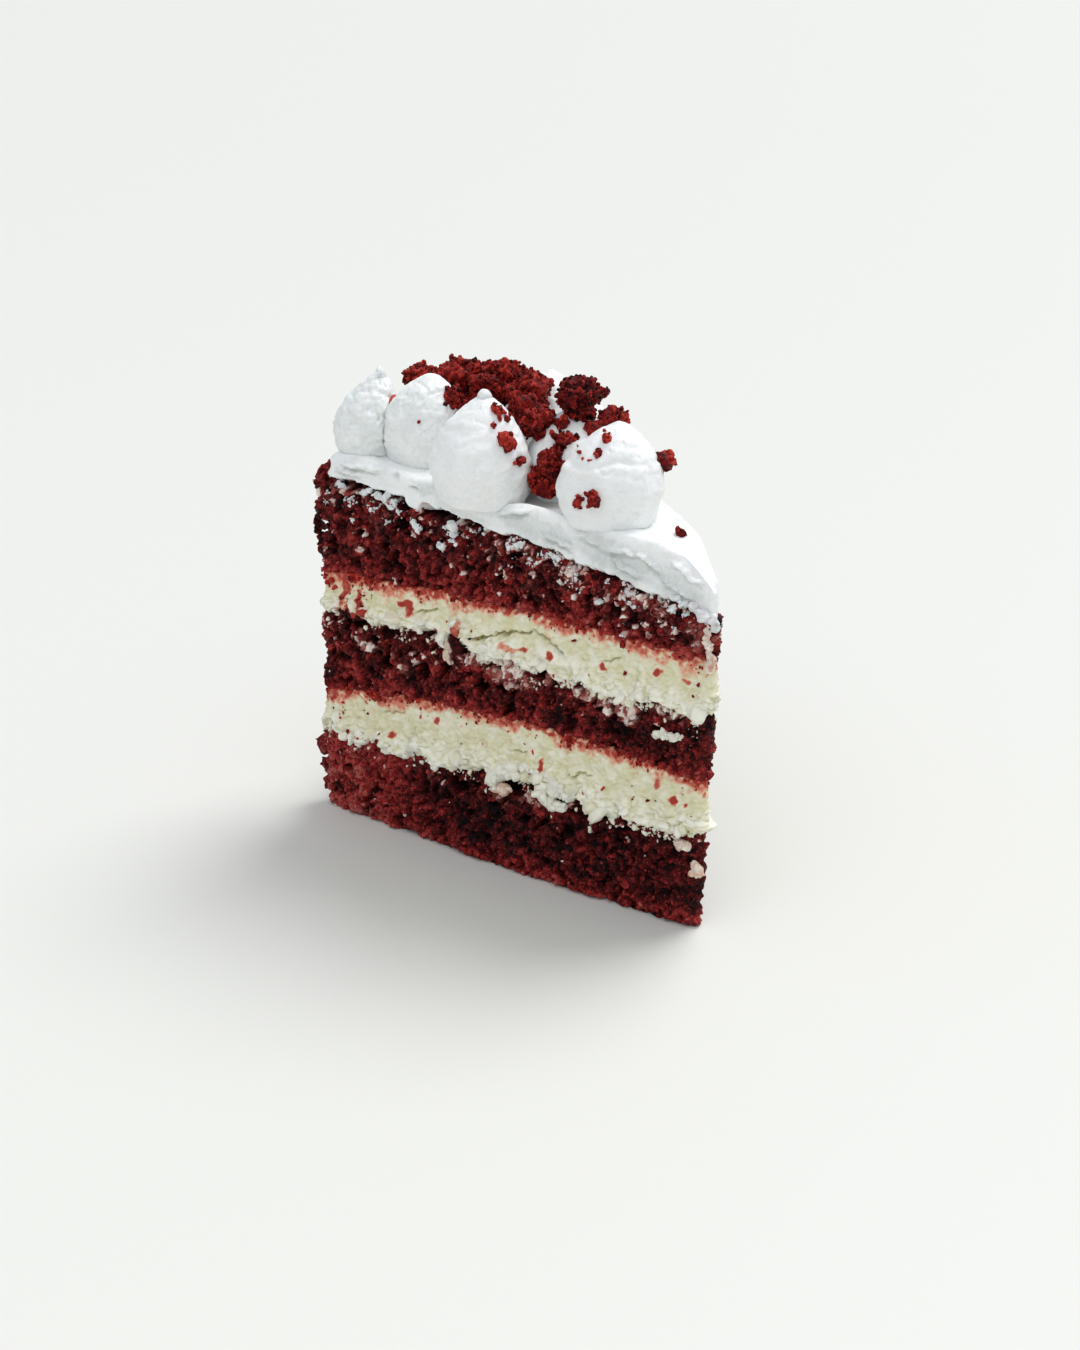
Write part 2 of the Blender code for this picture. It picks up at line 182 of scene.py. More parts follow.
def granules(points: Floats, cell: float, seed: int = 0) -> Floats:
    """Round bumps from 0 to 1 with sharp valleys, one at each seed point."""
    return rounded(nearest_seed(points, cell, seed)[0])


def hollows(points: Floats, cell: float, share: float, seed: int = 0) -> Floats:
    """Round pits from 0 to 1 at a share of the seed points: 1 at the point, 0 half a cell away."""
    distance, picked = nearest_seed(points, cell, seed)
    return (1 - ease(0.1, 0.6, distance)) * (picked < share)


def shaken(points: Floats, cell: float, seed: int = 0) -> Floats:
    """A swell along each axis."""
    return np.stack([swell(points, cell, seed + k) for k in range(3)], axis=-1)


def warped(points: Floats, cell: float, amount: float, seed: int = 0) -> Floats:
    """Points shifted by a swell along each axis, which makes round cells ragged."""
    return points + amount * shaken(points, cell, seed)


def ease(low: float, high: float, values: Floats) -> Floats:
    """0 below low, 1 above high and 3t^2 - 2t^3 between them."""
    t = np.clip((values - low) / (high - low), 0, 1)
    return t * t * (3 - 2 * t)


# --- Closed surfaces.


@dataclass
class Skin:
    """Closed surfaces of one kind: each is a stack of rings with a pole at either end.

    The arrays' axes are piece, row, column and, for the places, x, y and z.
    """

    rings: Floats
    poles: Floats
    masks: dict[str, Floats] = field(default_factory=dict)

    def vertices(self) -> Floats:
        """The rings' points and then the two poles, piece by piece."""
        pieces = len(self.rings)
        flat = self.rings.reshape(pieces, -1, 3)
        return np.concatenate([flat, self.poles], axis=1).reshape(-1, 3)

    def triangles(self) -> Integers:
        """Two triangles for each quad between neighbouring rings, and a fan to each pole."""
        pieces, rows, columns = self.rings.shape[:3]
        here = np.arange(columns)
        ahead = (here + 1) % columns
        low = (np.arange(rows - 1) * columns)[:, None]
        a, b, c, d = low + here, low + ahead, low + columns + ahead, low + columns + here
        first, last, top = rows * columns, rows * columns + 1, (rows - 1) * columns
        one = np.concatenate(
            [
                np.stack([a, b, c], -1).reshape(-1, 3),
                np.stack([a, c, d], -1).reshape(-1, 3),
                np.column_stack([np.full(columns, first), ahead, here]),
                np.column_stack([np.full(columns, last), top + here, top + ahead]),
            ]
        )
        starts = np.arange(pieces) * (rows * columns + 2)
        return (starts[:, None, None] + one).reshape(-1, 3)

    def mask(self, name: str) -> Floats:
        """One mask's value at each vertex, 0 where the skin doesn't have it."""
        pieces, rows, columns = self.rings.shape[:3]
        values = np.broadcast_to(self.masks.get(name, np.zeros(1)), (pieces, rows, columns))
        ends = np.stack([values[:, 0].mean(-1), values[:, -1].mean(-1)], axis=1)
        return np.concatenate([values.reshape(pieces, -1), ends], axis=1).reshape(-1)

    def each(self, values: Floats) -> Floats:
        """One value a piece, spread over all its places."""
        return np.broadcast_to(values[:, None, None], self.rings.shape[:3])


# Vertex masks: tone, which also carries painted highlights and painted shade; pit, painted shade in recesses;
# smear; stain.
MASKS = ("tone", "pit", "smear", "stain")
BOX_MARGIN = 0.02 * MM
COARSE_GRID, ROUND_GRID, FINE_GRID = (5, 6), (7, 10), (9, 14)


def link(name: str, data: ID) -> Object:
    """Puts a mesh, a light or a camera into the scene."""
    holder = bpy.data.objects.new(name, data)
    bpy.context.scene.collection.objects.link(holder)
    return holder


def add_piece(
    name: str, skins: list[Skin], material: Material, replaced: tuple[str, ...] = ()
) -> Object:
    """Joins skins in one mesh object that rides on the slice.

    Args:
        name: The piece's name.
        skins: Closed surfaces, with their masks.
        material: The finish.
        replaced: Names of the solids that the piece stands for.

    Returns:
        The new object, kept inside the solids' box.
    """
    low, high = (np.array(corner) for corner in CAD_BOX)
    counts = np.cumsum([0] + [len(skin.vertices()) for skin in skins])
    points = np.concatenate([skin.vertices() for skin in skins])
    points = np.clip(points, low + BOX_MARGIN * np.array([1, 1, 0]), high - BOX_MARGIN)
    faces = np.concatenate([skin.triangles() + start for skin, start in zip(skins, counts)])
    mesh = bpy.data.meshes.new(name)
    mesh.vertices.add(len(points))
    mesh.vertices.foreach_set("co", points.astype(np.float32).ravel())
    mesh.loops.add(faces.size)
    mesh.loops.foreach_set("vertex_index", faces.astype(np.int32).ravel())
    mesh.polygons.add(len(faces))
    mesh.polygons.foreach_set("loop_start", np.arange(0, faces.size, 3, dtype=np.int32))
    mesh.update(calc_edges=True)
    mesh.shade_smooth()
    for mask in MASKS:
        layer = mesh.attributes.new(mask, "FLOAT", "POINT")
        values = np.concatenate([skin.mask(mask) for skin in skins])
        layer.data.foreach_set("value", values.astype(np.float32))
    mesh.materials.append(material)
    piece = link(name, mesh)
    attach(piece, "root")
    if replaced:
        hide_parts(*replaced)
    LOG.info("%s: %d triangles", name, len(faces))
    return piece


def facing(rings: Floats) -> Floats:
    """Unit normals of one stack of rings: the cross product of its two directions."""
    around = np.roll(rings, -1, axis=1) - np.roll(rings, 1, axis=1)
    up = np.gradient(rings, axis=0)
    normal = np.cross(around, up)
    return normal / np.maximum(np.linalg.norm(normal, axis=-1, keepdims=True), 1e-12)


def turned(count: int, rng: Random) -> Floats:
    """Random turns: unit quaternions w, x, y, z written out as 3 x 3 matrices."""
    quaternions = rng.normal(size=(count, 4))
    w, x, y, z = (quaternions / np.linalg.norm(quaternions, axis=1, keepdims=True)).T
    rows = [
        [1 - 2 * (y * y + z * z), 2 * (x * y - w * z), 2 * (x * z + w * y)],
        [2 * (x * y + w * z), 1 - 2 * (x * x + z * z), 2 * (y * z - w * x)],
        [2 * (x * z - w * y), 2 * (y * z + w * x), 1 - 2 * (x * x + y * y)],
    ]
    return np.array(rows).transpose(2, 0, 1)


def ball_grid(rows: int, columns: int) -> tuple[Floats, Floats]:
    """Directions of a sphere's rings from its lowest to its highest, and of its two poles."""
    fall = -math.pi / 2 + math.pi * (np.arange(rows) + 1) / (rows + 1)
    turn = 2 * math.pi * np.arange(columns) / columns
    ring = np.stack(
        [
            np.outer(np.cos(fall), np.cos(turn)),
            np.outer(np.cos(fall), np.sin(turn)),
            np.outer(np.sin(fall), np.ones(columns)),
        ],
        axis=-1,
    )
    return ring, np.array([[0.0, 0, -1], [0, 0, 1]])


def grains(
    centres: Floats, sizes: Floats, seed: int, crag: float, grid: tuple[int, int] = COARSE_GRID
) -> Skin:
    """Many small angular lumps: spheres stretched, with every point moved in or out, and turned.

    Args:
        centres: One place for each lump.
        sizes: Three widths for each lump.
        seed: Seed of the turns and of the roughness.
        crag: Share of the radius that the roughness adds and takes away.
        grid: Rings in a lump and points in a ring.

    Returns:
        One skin that holds every lump.
    """
    rng = np.random.default_rng(seed)
    ring, ends = ball_grid(*grid)
    ways = np.concatenate([ring.reshape(-1, 3), ends])
    bump = 1 + crag * rng.uniform(-1, 1, (len(centres), len(ways), 1))
    shaped = ways * bump * sizes[:, None] / 2
    placed = np.einsum("nij,nkj->nki", turned(len(centres), rng), shaped) + centres[:, None]
    placed = warped(placed, 1.3 * MM, 0.3 * MM, seed)
    if grid != COARSE_GRID:
        placed = warped(warped(placed, 2.2 * MM, 0.6 * MM, seed + 2), 0.7 * MM, 0.16 * MM, seed + 5)
    return Skin(placed[:, :-2].reshape(-1, *grid, 3), placed[:, -2:])


def studded(
    skin: Skin,
    out: Floats,
    spots: tuple[Floats, Floats],
    size: Floats,
    seed: int,
    crag: float = 0.22,
    grid: tuple[int, int] = COARSE_GRID,
) -> Skin:
    """Small angular lumps half sunk in the first surface of a skin.

    Args:
        skin: The skin that they stand on.
        out: The outward way at each of its places.
        spots: Row and column of each lump.
        size: Width of each lump.
        seed: Seed of their shapes.
        crag: Roughness of the lumps.
        grid: Rings in a lump and points in a ring.

    Returns:
        One skin with every lump, with the masks of the places they stand on.
    """
    rng = np.random.default_rng(seed)
    lift = size * rng.uniform(-0.3, 0.15, len(size))
    centres = skin.rings[0][spots] + out[spots] * lift[:, None]
    sizes = size[:, None] * rng.uniform(0.55, 1.4, (len(size), 3))
    centres[:, 2] = np.maximum(centres[:, 2], sizes.max(1) * 0.75)
    lumps = grains(centres, sizes, seed + 1, crag, grid)
    lumps.masks = {name: lumps.each(values[0][spots]) for name, values in skin.masks.items()}
    return lumps


def smooth_path(path: Floats) -> Floats:
    """A Catmull-Rom curve through the given points, twelve places to a span.

    Between b and c, with a before them and d after, it is
    b + ((c - a) t + (2a - 5b + 4c - d) t^2 + (3b - a - 3c + d) t^3) / 2.
    """
    knots = np.vstack([2 * path[0] - path[1], path, 2 * path[-1] - path[-2]])
    a, b, c, d = (knots[k : len(path) - 1 + k, None] for k in range(4))
    t = np.linspace(0, 1, 12, endpoint=False)[:, None]
    spans = b + 0.5 * ((c - a) * t + (2 * a - 5 * b + 4 * c - d) * t**2 + (3 * b - a - 3 * c + d) * t**3)
    return np.vstack([spans.reshape(-1, path.shape[1]), path[-1:]])


def chain(path: Floats, radii: Floats, seed: int) -> Skin:
    """A torn strand: lumps set close together along a smooth path, each a little off it.

    Args:
        path: Points that the strand passes through.
        radii: The strand's radius at each of them.
        seed: Seed of the lumps.

    Returns:
        The lumps as one skin.
    """
    line = smooth_path(path)
    run = np.concatenate([[0], np.cumsum(np.linalg.norm(np.diff(line, axis=0), axis=1))])
    count = max(4, round(run[-1] / (0.32 * float(np.mean(radii)))))
    stops = np.linspace(0, run[-1], count)
    rng = np.random.default_rng(seed)
    centres = np.column_stack([np.interp(stops, run, line[:, k]) for k in range(3)])
    radius = np.interp(np.linspace(0, len(path) - 1, count), np.arange(len(path)), radii)
    radius = radius * rng.uniform(0.5, 1.15, count)
    centres += rng.normal(size=centres.shape) * 0.3 * radius[:, None]
    sizes = 2 * radius[:, None] * rng.uniform(0.7, 1.45, (count, 3))
    return grains(centres, sizes, seed + 1, 0.1, FINE_GRID)


# --- The slice's form, which every piece is built on.


@dataclass(frozen=True)
class Outline:
    """The slice's plan, counter-clockwise from its tip: points, outward normals and faces."""

    points: Floats
    normals: Floats

    def on_left(self) -> Floats:
        """1 on the left cut face and 0 elsewhere."""
        return np.clip((-self.normals[:, 0] - 0.8) / 0.1, 0, 1)

    def on_rim(self) -> Floats:
        """1 on the rim's arc and 0 on the cut faces."""
        return np.clip(self.normals[:, 1] * 1.6, 0, 1)


@dataclass(frozen=True)
class SliceForm:
    """The wedge that the layers, the frosting and the dollops share."""

    radius: float = 123 * MM
    half_angle: float = math.radians(20)
    corner_round: float = 2 * MM
    tip: tuple[float, float] = (-0.5 * MM, -62.2 * MM)
    lean: tuple[float, float] = (0.01, -0.035)
    face_bow: float = 2.2 * MM
    bow_ends: float = 60 * MM
    wave: float = 0.9 * MM
    rim_ledge: float = 3.5 * MM
    frosting_at_tip: float = 94.2 * MM
    frosting_rise: float = 5.8 * MM
    droop_depth: float = 14 * MM
    droop_reach: float = 24 * MM
    left_step: float = 0.34 * MM
    right_step: float = 0.5 * MM
    rim_step: float = 0.55 * MM

    def outline(self) -> Outline:
        """The rounded sector: the corners' arcs, two straight faces and the rim's arc.

        Returns:
            The outline, counter-clockwise from the tip, its points a step apart on each side.
        """
        r, a, tip = self.corner_round, self.half_angle, np.array(self.tip)
        apex = tip + np.array([0, r / math.sin(a)])
        reach = math.sqrt((self.radius - r) ** 2 - r**2) - r / math.tan(a)
        right = apex + reach * np.array([math.sin(a), math.cos(a)])
        left = tip + (right - tip) * (-1, 1)
        bearing = math.atan2(right[1] - tip[1], right[0] - tip[0])
        centres: list[Floats] = []
        angles: list[Floats] = []

        def add(start: Floats, end: Floats, first: float, last: float, count: int) -> None:
            """Carries the rounding's centre from start to end while its normal turns."""
            t = np.linspace(0, 1, count, endpoint=False)[:, None]
            centres.append(start + t * (end - start))
            angles.append(first + t[:, 0] * (last - first))

        add(apex, apex, -math.pi / 2, -a, 6)
        add(apex, right, -a, -a, round(reach / self.right_step))
        add(right, right, -a, bearing, 6)
        count = round(2 * a * self.radius / self.rim_step)
        turn = np.linspace(bearing, math.pi - bearing, count, endpoint=False)
        centres.append(tip + (self.radius - r) * np.column_stack([np.cos(turn), np.sin(turn)]))
        angles.append(turn)
        add(left, left, math.pi - bearing, math.pi + a, 8)
        add(left, apex, math.pi + a, math.pi + a, round(reach / self.left_step))
        add(apex, apex, math.pi + a, 1.5 * math.pi, 7)
        heading = np.concatenate(angles)
        normals = np.column_stack([np.cos(heading), np.sin(heading)])
        return Outline(np.concatenate(centres) + r * normals, normals)

    def from_tip(self, plan: Floats) -> Floats:
        """Distance of each plan point from the wedge's tip."""
        return np.hypot(plan[..., 0] - self.tip[0], plan[..., 1] - self.tip[1])

    def from_faces(self, plan: Floats) -> Floats:
        """Distance of each plan point from the nearer of the two cut faces."""
        x, y = np.abs(plan[..., 0] - self.tip[0]), plan[..., 1] - self.tip[1]
        return y * math.sin(self.half_angle) - x * math.cos(self.half_angle)

    def along(self, plan: Floats) -> Floats:
        """Distance from the tip along the left cut face."""
        x, y = plan[..., 0] - self.tip[0], plan[..., 1] - self.tip[1]
        return y * math.cos(self.half_angle) - x * math.sin(self.half_angle)

    def plan(self, along: Floats | float, depth: Floats | float) -> Floats:
        """Plan points at distances along the left cut face and depths behind it."""
        s, c = math.sin(self.half_angle), math.cos(self.half_angle)
        x = self.tip[0] - np.asarray(along, float) * s + np.asarray(depth, float) * c
        y = self.tip[1] + np.asarray(along, float) * c + np.asarray(depth, float) * s
        return np.stack([x, y], axis=-1)

    def spot(self, along: float, depth: float, height: float) -> Floats:
        """One place in the leaning slice, from its distances in mm."""
        place = self.plan(along * MM, depth * MM) + height * MM * np.array(self.lean)
        return np.array([*place, height * MM])

    def height(self, boundary: Boundary, plan: Floats) -> Floats:
        """A boundary's height: the quadratic through its three levels, plus waves.

        The waves are worked out at stations along the plan and read between them.

        Args:
            boundary: The boundary between two layers.
            plan: A row of plan points.

        Returns:
            The height at each point.
        """
        tip, middle, rim = (level * MM for level in boundary.value)
        t = np.clip(self.from_tip(plan) / self.radius, 0, 1)
        curve = tip + (4 * middle - 3 * tip - rim) * t + 2 * (tip + rim - 2 * middle) * t**2
        if boundary is Boundary.BASE:
            return curve
        stations = np.unique(np.linspace(0, len(plan) - 1, min(len(plan), 140)).astype(int))
        seat = Vector((1, 7.3, -3.1))
        waves = [noise.noise(Vector((*plan[i], 0)) / (11 * MM) + seat) for i in stations]
        return curve + self.wave * np.interp(np.arange(len(plan)), stations, waves)

    def frosting_top(self, plan: Floats) -> Floats:
        """Top of the frosting: a soft step up to the rim, and a roll down over the tip."""
        distance = self.from_tip(plan)
        slope = self.frosting_at_tip + self.frosting_rise * ease(0.5, 0.9, distance / self.radius)
        return slope - self.droop_depth * np.clip(1 - distance / self.droop_reach, 0, 1) ** 2

    def bow(self, along: Floats, on_left: Floats | float, heights: Floats) -> Floats:
        """How far the left face swells near the plate: a half sine along it, fading upwards."""
        fade = np.clip(1 - heights / self.bow_ends, 0, None)
        return self.face_bow * np.sin(math.pi * np.clip(along / self.radius, 0, 1)) * on_left * fade

    def room(self, places: Floats, share: float, least: float) -> Floats:
        """How far a wall may sink: a share of the distance from the tip, so that walls don't meet."""
        return np.clip(self.from_tip(places[..., :2]) * share, least, None)

    def leaned(self, places: Floats) -> Floats:
        """The slice leans slightly towards its tip."""
        moved = places.copy()
        moved[..., :2] += places[..., 2:] * np.array(self.lean)
        return moved

    def skin(self, rings: Floats, poles: list[list[float]], masks: dict[str, Floats]) -> Skin:
        """One closed stack of rings with its masks, leaning with the slice."""
        shaped = {name: mask[None] for name, mask in masks.items()}
        return Skin(self.leaned(rings)[None], self.leaned(np.array(poles))[None], shaped)


FORM = SliceForm()


@dataclass(frozen=True)
class Mark:
    """One spot on the left cut face: its middle, half widths in mm, turn in degrees, strength."""

    along: float
    height: float
    wide: float
    tall: float
    turn: float = 0.0
    strength: float = 1.0


@dataclass(frozen=True)
class Drip:
    """Where an edge on the left cut face hangs or rises: its middle, half width and amount in mm."""

    along: float
    wide: float
    tall: float

    def near(self, outline: Outline, flat: float = 0.5, end: float = 1.2) -> Floats:
        """1 out to the flat share of its width, fading to 0 at the end share; 0 off the left face."""
        away = np.abs(FORM.along(outline.points) / MM - self.along) / self.wide
        return (1 - ease(flat, end, away)) * outline.on_left()


def each_of(kind: type[Record], *rows: tuple[float, ...]) -> tuple[Record, ...]:
    """One record of a kind for each row of numbers."""
    return tuple(kind(*row) for row in rows)


# --- Finishes.


def shade(red: float, green: float, blue: float) -> Colour:
    """A display colour from 0 to 255 as a linear one: ((c + 0.055) / 1.055)^2.4."""
    linear = [((c / 255 + 0.055) / 1.055) ** 2.4 for c in (red, green, blue)]
    return (linear[0], linear[1], linear[2], 1.0)


class Desk:
    """Adds and joins nodes in one node tree."""

    def __init__(self, tree: NodeTree) -> None:
        """Works in the given tree."""
        self.tree = tree

    def put(self, socket: NodeSocket, value: object) -> None:
        """Joins an output to an input socket, or sets the input's constant."""
        if isinstance(value, NodeSocket):
            self.tree.links.new(value, socket)
        else:
            socket.default_value = value

    def add(self, kind: str, inputs: dict[str | int, object] | None = None, **settings: object) -> Node:
        """Adds a node.

        Args:
            kind: The node's type name, without "ShaderNode" for a shader node.
            inputs: Socket to a value, or to the output socket that it is joined to.
            **settings: The node's own properties.

        Returns:
            The new node.
        """
        node = self.tree.nodes.new(kind if kind.startswith("Node") else "ShaderNode" + kind)
        for name, value in settings.items():
            setattr(node, name, value)
        for name, value in (inputs or {}).items():
            self.put(node.inputs[name], value)
        return node

    def maths(self, operation: str, a: object, b: object = 0.0, clamp: bool = False) -> NodeSocket:
        """One step of arithmetic on values or sockets."""
        return self.add("Math", {0: a, 1: b}, operation=operation, use_clamp=clamp).outputs[0]

    def mixed(self, share: object, a: object, b: object) -> NodeSocket:
        """Two colours mixed by a share."""
        return self.add("Mix", {"Factor": share, 6: a, 7: b}, data_type="RGBA").outputs[2]

    def ramped(self, value: object, low: float, high: float) -> NodeSocket:
        """0 to 1 as the value goes from low to high."""
        return self.add("MapRange", {"Value": value, "From Min": low, "From Max": high}).outputs["Result"]

    def attribute(self, name: str) -> NodeSocket:
        """A mask carried by the mesh."""
        return self.add("Attribute", attribute_name=name).outputs["Fac"]

    def speckled(self, name: str, grain: Node, share: float, clamp: bool = False) -> NodeSocket:
        """A mask of the mesh that the grain moves up and down by half the share."""
        swing = self.maths("MULTIPLY", self.maths("SUBTRACT", grain.outputs["Mask"], 0.5), share)
        return self.maths("ADD", self.attribute(name), swing, clamp)

    def textured(
        self, shader: Node, grain: Node, rough: float, swing: float, bump: float, depth: float
    ) -> None:
        """Puts fine grain into a shader's roughness and relief.

        Args:
            shader: The material's shader.
            grain: The grain group, placed in the material.
            rough: Roughness where the grain's mask is 0.
            swing: What the mask adds to it where it is 1.
            bump: Strength of the relief.
            depth: Depth of the relief.
        """
        roughness = self.maths("ADD", rough, self.maths("MULTIPLY", grain.outputs["Mask"], swing))
        relief = self.add("Bump", {"Height": grain.outputs["Height"], "Strength": bump, "Distance": depth})
        self.put(shader.inputs["Roughness"], roughness)
        self.put(shader.inputs["Normal"], relief.outputs["Normal"])


Socket = tuple[str, str, object]
NUMBER, COLOUR = "NodeSocketFloat", "NodeSocketColor"


def shader_group(name: str, inputs: tuple[Socket, ...], outputs: dict[str, str]) -> tuple[Desk, Node, Node]:
    """Starts a shader node group.

    Args:
        name: The group's name.
        inputs: Name, socket type and default value of each input.
        outputs: Name and socket type of each output.

    Returns:
        A desk on the group's tree, its input node and its output node.
    """
    tree = bpy.data.node_groups.new(name, "ShaderNodeTree")
    for label, kind, value in inputs:
        tree.interface.new_socket(label, in_out="INPUT", socket_type=kind).default_value = value
    for label, kind in outputs.items():
        tree.interface.new_socket(label, in_out="OUTPUT", socket_type=kind)
    desk = Desk(tree)
    return desk, desk.add("NodeGroupInput"), desk.add("NodeGroupOutput")


class SharedEffects:
    """The node groups that more than one finish uses."""

    def __init__(self) -> None:
        """Builds each group once."""
        self.grain = self.build_grain()
        self.smear = self.build_smear()

    @staticmethod
    def build_grain() -> NodeTree:
        """Fine grain: two scales of noise and one of cells, as a mask and as a height."""
        desk, given, result = shader_group(
            "fine_grain", (("Scale", NUMBER, 900.0),), {"Mask": NUMBER, "Height": NUMBER}
        )
        place = desk.add("TexCoord").outputs["Object"]
        broad = desk.add("TexNoise", {"Vector": place, "Scale": given.outputs["Scale"], "Detail": 4.0})
        tight = desk.maths("MULTIPLY", given.outputs["Scale"], 2.3)
        cells = desk.add("TexVoronoi", {"Vector": place, "Scale": tight, "Randomness": 1.0})
        rough = desk.add("TexNoise", {"Vector": place, "Scale": tight, "Detail": 3.0})
        dips = desk.maths("MULTIPLY", cells.outputs["Distance"], 0.6)
        desk.put(result.inputs["Mask"], desk.ramped(broad.outputs["Fac"], 0.3, 0.7))
        desk.put(result.inputs["Height"], desk.maths("SUBTRACT", rough.outputs["Fac"], dips))
        return desk.tree

    @staticmethod
    def build_smear() -> NodeTree:
        """A thin smear of one stuff on another: its amount, broken up by noise, mixes the colours."""
        grey = (0.5, 0.5, 0.5, 1)
        colours = tuple((label, COLOUR, grey) for label in ("Under", "Thin", "Thick"))
        numbers = (("Amount", NUMBER, 0.0), ("Scale", NUMBER, 700.0))
        desk, given, result = shader_group("thin_smear", colours + numbers, {"Color": COLOUR})
        place = desk.add("TexCoord").outputs["Object"]
        broken = desk.add("TexNoise", {"Vector": place, "Scale": given.outputs["Scale"], "Detail": 3.0})
        ragged = desk.maths("MULTIPLY", desk.maths("SUBTRACT", broken.outputs["Fac"], 0.5), 0.8)
        spread = desk.maths("ADD", given.outputs["Amount"], ragged)
        thin, thick = desk.ramped(spread, 0.08, 0.55), desk.ramped(spread, 0.5, 1.0)
        gated = desk.maths("MULTIPLY", thin, desk.ramped(given.outputs["Amount"], 0.02, 0.12))
        tinted = desk.mixed(gated, given.outputs["Under"], given.outputs["Thin"])
        desk.put(result.inputs["Color"], desk.mixed(thick, tinted, given.outputs["Thick"]))
        return desk.tree

    def grain_in(self, desk: Desk, scale: float) -> Node:
        """The grain group placed in a material."""
        return desk.add("Group", {"Scale": scale}, node_tree=self.grain)

    def smear_in(
        self, desk: Desk, under: object, film: tuple[Colour, Colour], mask: str, scale: float
    ) -> NodeSocket:
        """The smear group placed in a material.

        Args:
            desk: The desk on the material's tree.
            under: The colour below the smear.
            film: The smear's colours where it is thin and where it is thick.
            mask: The mesh's mask that holds its amount.
            scale: Scale of the noise that breaks it up.

        Returns:
            The mixed colour.
        """
        values = {"Under": under, "Thin": film[0], "Thick": film[1]}
        values |= {"Amount": desk.attribute(mask), "Scale": scale}
        return desk.add("Group", values, node_tree=self.smear).outputs["Color"]


def new_material(name: str) -> tuple[Material, Desk, Node]:
    """An empty material with its Principled shader, and a desk on its tree."""
    material = bpy.data.materials.new(name)
    material.use_nodes = True
    return material, Desk(material.node_tree), material.node_tree.nodes["Principled BSDF"]


@dataclass(frozen=True)
class SpongeFinish:
    """Moist red crumb: painted shade in pores, painted highlights on crests, and dragged cream smears."""

    name: str
    # deep is also the colour of painted shade, mixed in by the pit mask.
    deep: Colour
    body: Colour
    bright: Colour
    smear: tuple[Colour, Colour]
    # glint is the colour of painted highlights.
    glint: Colour
    grain_scale: float = 1100.0
    smear_scale: float = 650.0
    driest: float = 0.62
    wetness: float = 0.24
    bump: float = 0.8
    bump_depth: float = 0.25 * MM
    gloss: float = 0.1

    def material(self, effects: SharedEffects) -> Material:
        """Builds the material.

        Args:
            effects: The shared node groups.

        Returns:
            The finished material.
        """
        material, desk, shader = new_material(self.name)
        grain = effects.grain_in(desk, self.grain_scale)
        tone = desk.speckled("tone", grain, 0.5)
        low = desk.mixed(desk.ramped(tone, 0.0, 0.5), self.deep, self.body)
        high = desk.mixed(desk.ramped(tone, 0.5, 1.0), low, self.bright)
        # Painted highlights: grain crests on paler crumb, and tone above 0.95, turn towards the glint colour.
        crests, pale = desk.ramped(grain.outputs["Height"], 0.28, 0.5), desk.ramped(tone, 0.1, 0.7)
        fleck = desk.maths("MULTIPLY", desk.maths("MULTIPLY", crests, pale), 0.6)
        lit = desk.maths("ADD", fleck, desk.ramped(tone, 0.95, 1.7), clamp=True)
        crumb = desk.mixed(lit, high, self.glint)
        smeared = effects.smear_in(desk, crumb, self.smear, "smear", self.smear_scale)
        # Painted shade: the pit mask darkens pores and recesses towards the deep colour.
        pit = desk.maths("MULTIPLY", desk.attribute("pit"), 0.9, clamp=True)
        desk.put(shader.inputs["Base Color"], desk.mixed(pit, smeared, self.deep))
        desk.textured(shader, grain, self.driest, -self.wetness, self.bump, self.bump_depth)
        shader.inputs["Specular IOR Level"].default_value = self.gloss
        return material


@dataclass(frozen=True)
class CreamFinish:
    """Whipped cream: body colour, a greyer fold colour used also for painted shade, red stains where crumb
    bled.
    """

    name: str
    body: Colour
    # fold is mixed in by tone: random grey, and painted shade in creases, dents, under folds and on shaded
    # patches.
    fold: Colour
    stain: tuple[Colour, Colour]
    grain_scale: float = 700.0
    stain_scale: float = 800.0
    roughness: float = 0.42
    dryness: float = 0.16
    bump: float = 0.35
    bump_depth: float = 0.2 * MM
    softness: float = 0.25
    glow_colour: tuple[float, float, float] = (1.0, 0.8, 0.6)
    glow_depth: float = 1.6 * MM

    def material(self, effects: SharedEffects) -> Material:
        """Builds the material.

        Args:
            effects: The shared node groups.

        Returns:
            The finished material.
        """
        material, desk, shader = new_material(self.name)
        grain = effects.grain_in(desk, self.grain_scale)
        body = desk.mixed(desk.speckled("tone", grain, 0.3, clamp=True), self.body, self.fold)
        stained = effects.smear_in(desk, body, self.stain, "stain", self.stain_scale)
        desk.put(shader.inputs["Base Color"], stained)
        desk.textured(shader, grain, self.roughness, self.dryness, self.bump, self.bump_depth)
        shader.inputs["Subsurface Weight"].default_value = self.softness
        shader.inputs["Subsurface Radius"].default_value = self.glow_colour
        shader.inputs["Subsurface Scale"].default_value = self.glow_depth
        return material


# In the sponge finishes deep doubles as the painted shade's colour, and glint is the painted highlights'
# colour.
RED_SPONGE = SpongeFinish(
    "red_sponge",
    deep=shade(18, 1, 5),
    body=shade(90, 11, 14),
    bright=shade(162, 40, 38),
    smear=(shade(172, 98, 90), shade(246, 232, 222)),
    glint=shade(196, 112, 104),
)
LOOSE_CRUMB = SpongeFinish(
    "sponge_crumb",
    deep=shade(34, 2, 4),
    body=shade(124, 17, 16),
    bright=shade(198, 56, 42),
    smear=(shade(180, 70, 60), shade(236, 200, 196)),
    glint=shade(214, 110, 90),
)
